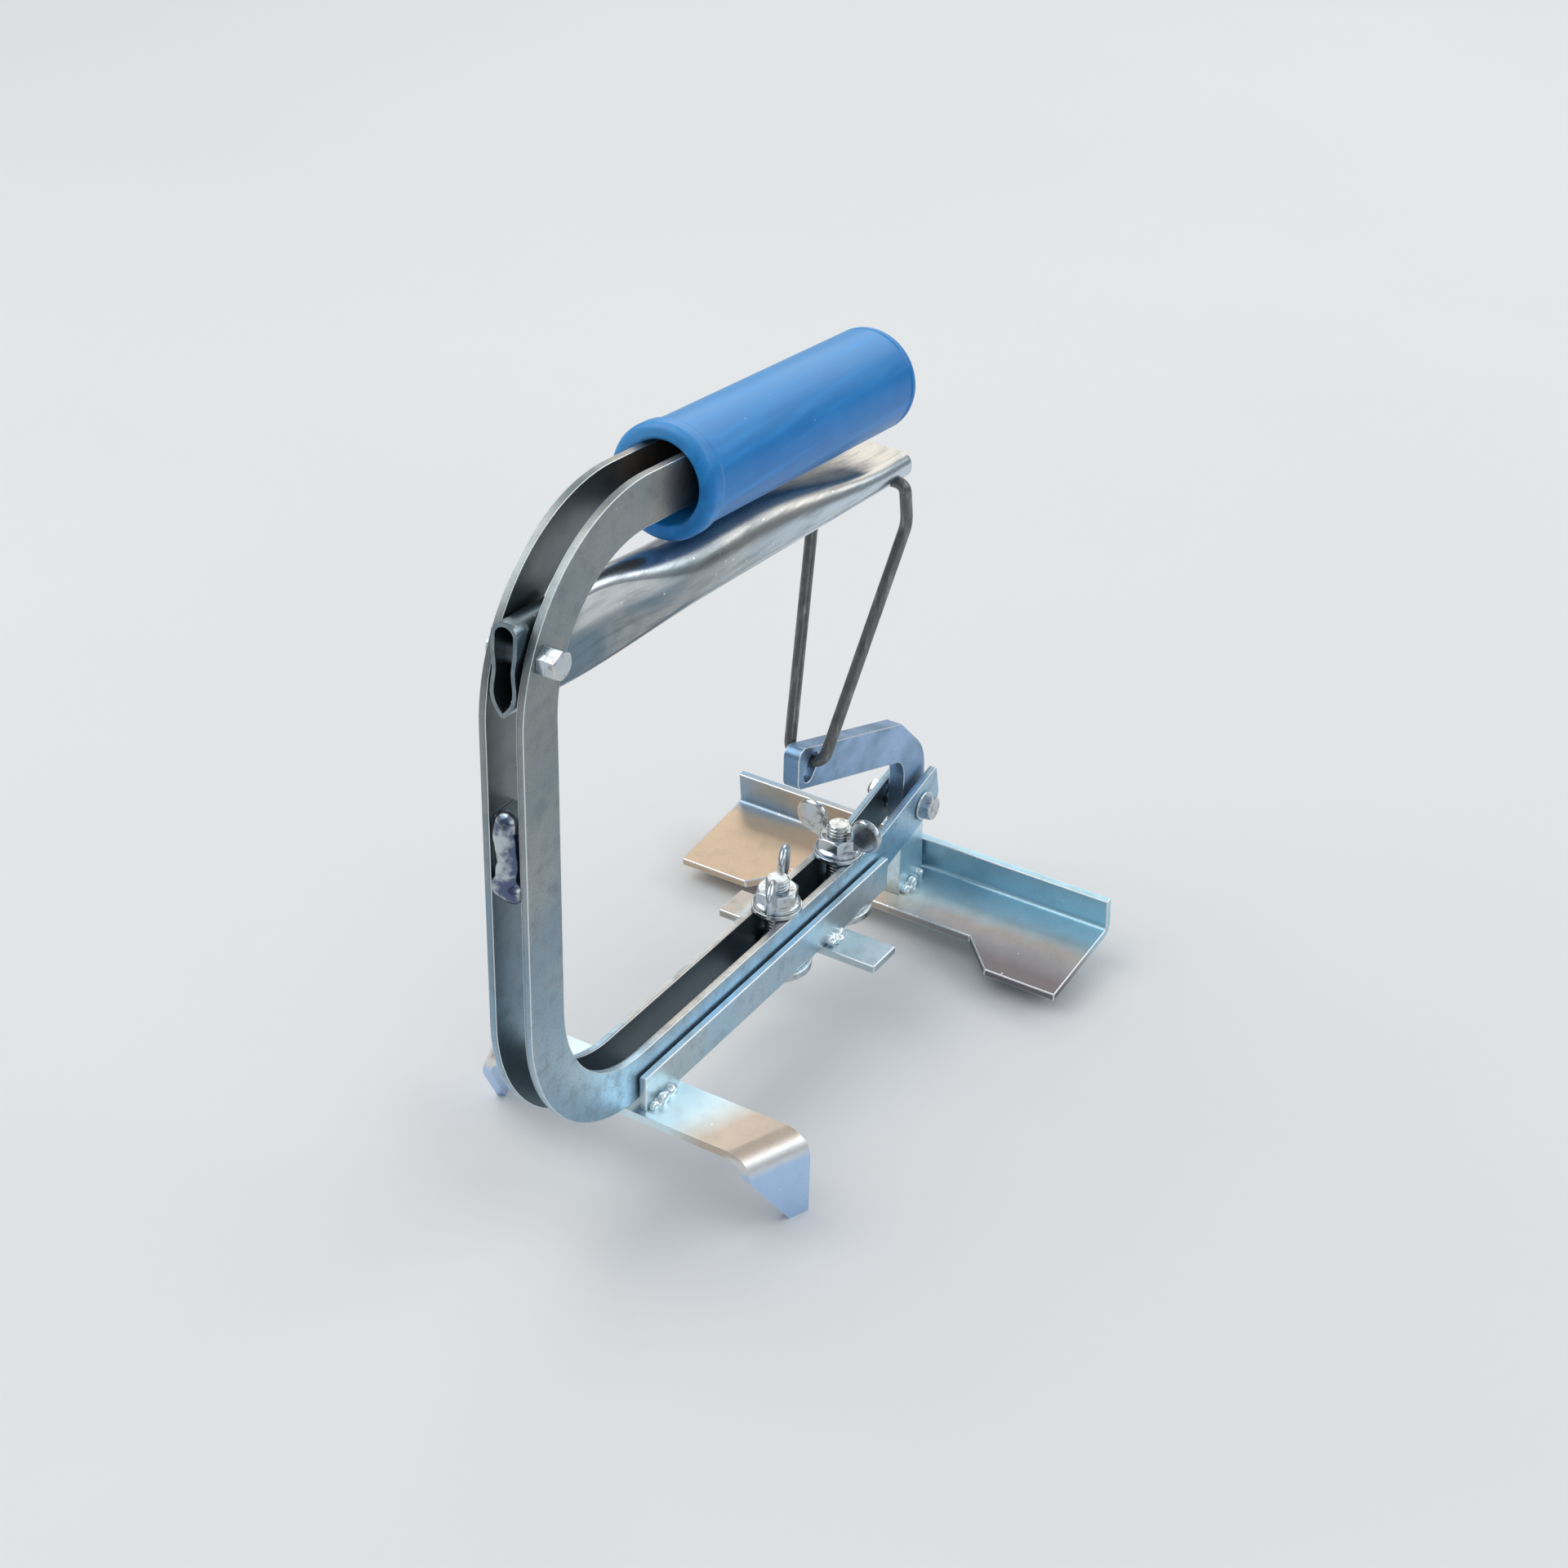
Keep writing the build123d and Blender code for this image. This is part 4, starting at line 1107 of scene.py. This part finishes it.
class CLAMP_OT_welds(bpy.types.Operator):
    """Lay the welds drop by drop and let the drops run together"""

    bl_idname = "clamp.welds"
    bl_label = "Welds"

    ROOT_SHARE = 0.45
    COLUMN_SET = 1.05
    COLUMN_STEPS = ((0.0, 0.24), (0.0, -0.24), (0.16, 0.0), (0.5, 0.05), (0.8, -0.03), (1.0, 0.0))
    COLUMN_SMOOTHING = 60
    CORNER_SMOOTHING = 5

    def rule(self):
        rule = Rule("weld_rule", Small=0.001, Large=0.002, Step=0.001, Stray=0.001, Seed=1)
        path = rule.add("GeometryNodeMeshToCurve", {}, {"Mesh": rule.given})
        sockets = {"Curve": path, "Length": rule.size("Step")}
        spots = rule.add("GeometryNodeCurveToPoints", {"mode": "LENGTH"}, sockets)
        stray = rule.size("Stray")
        back = 0 - stray
        shift = rule.scatter(
            rule.vector(back, back, back), rule.vector(stray, stray, stray), rule.size("Seed")
        )
        spots = rule.add("GeometryNodeSetPosition", {}, {"Geometry": spots, "Offset": shift})
        drop = rule.add("GeometryNodeMeshIcoSphere", {}, {"Radius": 1.0, "Subdivisions": 3})
        small = rule.size("Small")
        large = rule.size("Large")
        sizes = rule.scatter(
            rule.vector(small, small, small), rule.vector(large, large, large), rule.size("Seed") + 1
        )
        drops = rule.add(
            "GeometryNodeInstanceOnPoints", {}, {"Points": spots, "Instance": drop, "Scale": sizes}
        )
        return rule.close(drops, "weld_bead")

    def corner_path(self, group, drop):
        """Line just above the root of a corner weld, from its points."""
        first = min(p.y for p in group)
        last = max(p.y for p in group)
        middle = sum(p.x for p in group) / len(group)
        outward = 1.0 if middle > 0 else -1.0
        wall = min(abs(p.x) for p in group) * outward
        ends = []
        for y, inset in ((first, drop), (last, -drop)):
            root = min(p.z for p in group if abs(p.y - y) < drop)
            lift = drop * self.ROOT_SHARE
            ends.append(Vector((wall + outward * lift, y + inset, root + lift)))
        return ends

    def column_path(self):
        """Wandering line up the gap between the cheeks."""
        low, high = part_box("column_weld")
        drop = bpy.context.scene.clamp_welds.column_drop
        width = high.x - low.x
        climb = high.z - low.z - 2 * drop
        front = low.y + drop * self.COLUMN_SET
        return [
            Vector((width * side, front, low.z + drop + climb * share))
            for share, side in self.COLUMN_STEPS
        ]

    def execute(self, context):
        size = context.scene.clamp_welds
        rule = self.rule()
        even = {"Small": size.column_drop * 0.9, "Large": size.column_drop, "Stray": size.stray * 0.4}
        uneven = {"Small": size.drop * 0.65, "Large": size.drop * 1.2, "Stray": size.stray}
        column = [self.column_path()]
        jobs = [("column_weld", "frame", column, even, self.COLUMN_SMOOTHING, "weld_dark")]
        for node, body in (("rear_jaw_welds", "rocker"), ("carriage_welds", "carriage")):
            paths = [self.corner_path(group, size.drop) for group in islands(node)]
            jobs.append((node, body, paths, uneven, self.CORNER_SMOOTHING, "weld_bead"))
        for node, body, paths, drops, smoothing, look in jobs:
            beads = []
            for number, path in enumerate(paths):
                seed = size.seed + 2 * number
                beads.append(as_bmesh(rule.grow(path_mesh(path), Step=size.step, Seed=seed, **drops)))
            bead = cast(joined(*beads), size.grain, smoothing)
            low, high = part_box(node)
            for vert in bead.verts:
                vert.co = [min(max(c, a), b) for c, a, b in zip(vert.co, low, high)]
            piece(node + "_bead", bead, "weld_bead", body, node, weighted=False, look=look)
        return {"FINISHED"}


def thread_rule():
    """Threaded rod with a chamfered upper end."""
    around = 49
    turns_up = 100
    end = 1e-4
    rule = Rule("thread_rule", Length=0.01, Radius=0.004, Pitch=0.00125, Depth=0.0007, Rows=80)
    flat, u, v = rule.grid(around, rule.size("Rows"))
    height = v * rule.size("Length")
    crest = abs((height / rule.size("Pitch") - u + turns_up).fraction() - 0.5) * 2
    radius = rule.size("Radius") - rule.size("Depth") * (1 - crest.ease(0.12, 0.88))
    root = rule.size("Radius") - rule.size("Depth")
    radius = radius.low(root + (rule.size("Length") - height))
    radius = radius * (v > end) * (v < 1 - end)
    turn = u * (2 * pi)
    rod = rule.move(flat, rule.vector(turn.cosine() * radius, turn.sine() * radius, height))
    return rule.close(rule.seamless(rod), "zinc_fastener")


class CLAMP_OT_fasteners(bpy.types.Operator):
    """Make the bolts with their threads, heads and necks, and the nuts, washers and bushes"""

    bl_idname = "clamp.fasteners"
    bl_label = "Bolts, washers and nuts"

    THREAD_DEPTH = 0.61
    ROWS_A_TURN = 10

    def thread(self, rule, reach, diameter, pitch):
        rod = as_bmesh(rule.grow(
            Length=reach, Radius=diameter / 2, Pitch=pitch, Depth=pitch * self.THREAD_DEPTH,
            Rows=int(reach / pitch * self.ROWS_A_TURN),
        ))
        bmesh.ops.recalc_face_normals(rod, faces=rod.faces)
        return rod

    def clamp_bolt(self, rule, size, edge, node):
        low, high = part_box(node)
        seat = low.z + size.clamp_head_t
        head_r = (high.x - low.x) / 2
        boss_r = size.clamp_boss_d / 2
        boss_top = seat + size.clamp_boss_h
        head = lathe([
            (0.0, low.z), (head_r, low.z), (head_r, seat), (boss_r, seat), (boss_r, boss_top),
            (0.0, boss_top),
        ])
        round_edges(head, edge * 2)
        neck_top = seat + size.clamp_neck_h
        neck = bmesh.new()
        bmesh.ops.create_cube(neck, size=1.0)
        neck.transform(
            Matrix.Translation((0.0, 0.0, (seat + neck_top) / 2))
            @ Matrix.Diagonal((size.clamp_d, size.clamp_d, neck_top - seat, 1.0))
        )
        round_edges(neck, edge)
        rod = self.thread(rule, high.z - neck_top, size.clamp_d, size.clamp_pitch)
        rod.transform(Matrix.Translation((0.0, 0.0, neck_top)))
        bolt = joined(head, neck, rod)
        bolt.transform(Matrix.Translation((0.0, (low.y + high.y) / 2, 0.0)))
        return bolt

    def pivot_bolt(self, rule, size, edge, low, high):
        head_low = high.x - size.pivot_head_h
        shank_low = low.x + size.pivot_thread_l
        head = round_edges(hexagon(size.pivot_across, head_low, high.x), edge * 2)
        radius = size.pivot_d / 2
        shank = lathe([(0.0, shank_low), (radius, shank_low), (radius, head_low), (0.0, head_low)])
        rod = self.thread(rule, size.pivot_thread_l, size.pivot_d, size.pivot_pitch)
        rod.transform(Matrix.Translation((0.0, 0.0, shank_low)) @ Matrix.Rotation(pi, 4, "X"))
        return joined(head, shank, rod)

    def pivot_nut(self, size, edge, low, high):
        nut = round_edges(hexagon(size.pivot_across, 0.0, high.x - low.x), edge)
        nut.transform(Matrix.Translation((0.0, 0.0, high.x)) @ Matrix.Rotation(pi, 4, "X"))
        return nut

    def execute(self, context):
        edge = context.scene.clamp_plate_work.fastener_radius
        size = context.scene.clamp_fasteners
        rule = thread_rule()
        for end in ("front", "rear"):
            node = f"clamp_bolt_{end}"
            bolt = self.clamp_bolt(rule, size, edge, node)
            piece(node + "_threaded", bolt, "zinc_fastener", "carriage", node)
            node = f"clamp_washer_{end}"
            piece(node + "_rounded", round_edges(merged(node), edge), "zinc_fastener", "carriage", node)
        for pivot in ("lever", "rocker"):
            node = f"{pivot}_pivot_bolt"
            low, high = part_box(node)
            across = Matrix.Translation((0.0, (low.y + high.y) / 2, (low.z + high.z) / 2))
            across = across @ Matrix.Rotation(pi / 2, 4, "Y")
            bolt = self.pivot_bolt(rule, size, edge, low, high)
            bolt.transform(across)
            piece(node + "_threaded", bolt, "zinc_fastener", "frame", node)
            node = f"{pivot}_pivot_nut"
            nut = self.pivot_nut(size, edge, *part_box(node))
            nut.transform(across)
            piece(node + "_chamfered", nut, "zinc_fastener", "frame", node)
            node = f"{pivot}_pivot_washers"
            rounded = round_edges(merged(node), edge * 2)
            piece(node + "_rounded", rounded, "zinc_fastener", "frame", node)
            node = f"{pivot}_bush"
            piece(node + "_turned", round_edges(merged(node), edge), "bush_steel", "frame", node)
        return {"FINISHED"}


class CLAMP_OT_wing_nuts(bpy.types.Operator):
    """Cast the two wing nuts"""

    bl_idname = "clamp.wing_nuts"
    bl_label = "Wing nuts"

    SMOOTHING = 3
    ROOT_THICK, TIP_THICK = 1.25, 0.8

    def wing(self, size):
        half = size.wing_t / 2
        radius = size.wing_r
        disc = lathe([
            (0.0, -half), (radius - half * 0.6, -half), (radius, -half * 0.3), (radius, half * 0.3),
            (radius - half * 0.6, half), (0.0, half),
        ])
        disc.transform(
            Matrix.Translation((size.wing_out, 0.0, size.wing_up)) @ Matrix.Rotation(pi / 2, 4, "X")
        )
        web = bmesh.new()
        outline = (
            (0.0, size.skirt_h * 0.4, self.ROOT_THICK),
            (size.wing_out, size.wing_up - radius, self.TIP_THICK),
            (size.wing_out, size.wing_up, self.TIP_THICK),
            (0.0, size.height, self.ROOT_THICK),
        )
        sides = [
            [web.verts.new((x, side * half * thick, z)) for x, z, thick in outline]
            for side in (-1, 1)
        ]
        web.faces.new(sides[0])
        web.faces.new(sides[1])
        for i in range(len(outline)):
            j = (i + 1) % len(outline)
            web.faces.new((sides[0][i], sides[0][j], sides[1][j], sides[1][i]))
        bmesh.ops.recalc_face_normals(web, faces=web.faces)
        return joined(disc, web)

    def execute(self, context):
        size = context.scene.clamp_wing_nuts
        edge = context.scene.clamp_plate_work.fastener_radius
        for end, turn in (("front", size.turn_front), ("rear", size.turn_rear)):
            node = f"wing_nut_{end}"
            low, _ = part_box(node)
            axis = joint_at(f"{end}_wing_nut_turn")
            skirt_r = size.skirt_d / 2
            skirt = lathe([
                (0.0, 0.0), (skirt_r, 0.0), (skirt_r, size.skirt_h * 0.6),
                (size.across * 0.52, size.skirt_h), (0.0, size.skirt_h),
            ])
            left = self.wing(size)
            left.transform(Matrix.Rotation(pi, 4, "Z"))
            casting = cast(joined(skirt, self.wing(size), left), size.grain, self.SMOOTHING)
            nut = joined(casting, round_edges(hexagon(size.across, 0.0, size.height), edge))
            nut.transform(Matrix.Translation((axis.x, axis.y, low.z)) @ Matrix.Rotation(turn, 4, "Z"))
            piece(node + "_cast", nut, "zinc_fastener", f"{end}_wing_nut", node)
        return {"FINISHED"}


class CLAMP_OT_stage(bpy.types.Operator):
    """Lay the floor, hang the soft light and set the camera"""

    bl_idname = "clamp.stage"
    bl_label = "Floor, light and camera"

    FLOOR_HALF = 12.0
    AIM = Vector((0.0, 0.0, 0.1))
    LAMPS = (
        ("key", (-0.9, -0.5, 1.5), (1.6, 1.6), 16.5, (1.0, 0.98, 0.95)),
        ("fill", (1.6, -0.9, 0.9), (1.4, 1.0), 4.0, (0.86, 0.93, 1.0)),
        ("side_panel", (1.35, 1.0, 1.22), (1.9, 0.9), 11.5, (0.95, 0.98, 1.0)),
        ("back_panel", (-0.5, 1.7, 1.1), (2.0, 1.0), 9.0, (1.0, 0.95, 0.88)),
    )
    SKY = [
        (0.0, (0.50, 0.51, 0.53, 1.0)),
        (0.52, (0.50, 0.53, 0.57, 1.0)),
        (0.66, (0.60, 0.67, 0.75, 1.0)),
        (0.82, (1.0, 1.05, 1.10, 1.0)),
        (1.0, (1.3, 1.3, 1.3, 1.0)),
    ]

    def floor(self, context):
        half = self.FLOOR_HALF
        bm = bmesh.new()
        corners = [(-half, -half), (half, -half), (half, half), (-half, half)]
        bm.faces.new([bm.verts.new((x, y, 0.0)) for x, y in corners])
        obj = placed("floor", as_mesh("floor", bm))
        pale = Finish("floor_pale")
        dust = pale.noise(3.0, detail=3.0)
        tone = context.scene.clamp_colours.floor
        body = pale.blend(dust, rgba(tone), rgba(tone, 0.95))
        obj.data.materials.append(pale.close(Base_Color=body, Roughness=0.75, Specular_IOR_Level=0.2))

    def lamp(self, context, name, at, size, power, tone):
        light = bpy.data.lights.new(name, "AREA")
        light.shape = "RECTANGLE"
        light.size, light.size_y = size
        light.energy = power
        light.color = tone
        obj = bpy.data.objects.new(name, light)
        obj.location = at
        obj.rotation_euler = (self.AIM - Vector(at)).to_track_quat("-Z", "Y").to_euler()
        context.scene.collection.objects.link(obj)

    def sky(self, context):
        world = bpy.data.worlds.new("soft_sky")
        world.use_nodes = True
        context.scene.world = world
        net = Net(world.node_tree)
        way = net.add("ShaderNodeTexCoord", out="Generated")
        up = net.parts(way)[2]
        shade = net.add("ShaderNodeValToRGB", {"stops": self.SKY}, {"Fac": up * 0.5 + 0.5}, "Color")
        background = world.node_tree.nodes["Background"]
        net.feed(background.inputs["Color"], shade)
        background.inputs["Strength"].default_value = context.scene.clamp_stage.sky

    def camera(self, context):
        stage = context.scene.clamp_stage
        data = bpy.data.cameras.new("camera")
        data.sensor_width = 36.0
        data.lens = stage.lens
        data.clip_start = 0.02
        obj = bpy.data.objects.new("camera", data)
        turn = Matrix.Rotation(stage.camera_turn, 4, "Z")
        fall = Matrix.Rotation(pi / 2 - stage.camera_fall, 4, "X")
        roll = Matrix.Rotation(stage.camera_roll, 4, "Z")
        obj.matrix_world = Matrix.Translation(Vector(stage.camera_at)) @ turn @ fall @ roll
        context.scene.collection.objects.link(obj)
        context.scene.camera = obj

    def execute(self, context):
        self.floor(context)
        for lamp in self.LAMPS:
            self.lamp(context, *lamp)
        self.sky(context)
        self.camera(context)
        context.scene.view_settings.view_transform = "Standard"
        return {"FINISHED"}


STEPS = (
    CLAMP_OT_plates,
    CLAMP_OT_grip,
    CLAMP_OT_lever,
    CLAMP_OT_link,
    CLAMP_OT_welds,
    CLAMP_OT_fasteners,
    CLAMP_OT_wing_nuts,
    CLAMP_OT_stage,
)
SIZES = {
    "clamp_plate_work": ClampPlateWork,
    "clamp_grip": ClampGrip,
    "clamp_lever": ClampLever,
    "clamp_link": ClampLink,
    "clamp_fasteners": ClampFasteners,
    "clamp_wing_nuts": ClampWingNuts,
    "clamp_welds": ClampWelds,
    "clamp_colours": ClampColours,
    "clamp_stage": ClampStage,
}


class CLAMP_PT_pieces(bpy.types.Panel):
    """Steps that dress the laying clamp, in their order"""

    bl_idname = "CLAMP_PT_pieces"
    bl_label = "Laying clamp"
    bl_space_type = "VIEW_3D"
    bl_region_type = "UI"
    bl_category = "Laying clamp"

    def draw(self, context):
        for step in STEPS:
            self.layout.operator(step.bl_idname)
        for name in SIZES:
            box = self.layout.box()
            group = getattr(context.scene, name)
            for key in group.__annotations__:
                box.prop(group, key)


def register():
    for group in SIZES.values():
        bpy.utils.register_class(group)
    for step in STEPS:
        bpy.utils.register_class(step)
    bpy.utils.register_class(CLAMP_PT_pieces)
    for name, group in SIZES.items():
        setattr(bpy.types.Scene, name, PointerProperty(type=group))


def unregister():
    for name in SIZES:
        delattr(bpy.types.Scene, name)
    bpy.utils.unregister_class(CLAMP_PT_pieces)
    for step in reversed(STEPS):
        bpy.utils.unregister_class(step)
    for group in reversed(SIZES.values()):
        bpy.utils.unregister_class(group)


def main():
    register()
    for step in STEPS:
        family, name = step.bl_idname.split(".")
        getattr(getattr(bpy.ops, family), name)()


if __name__ == "__main__":
    main()
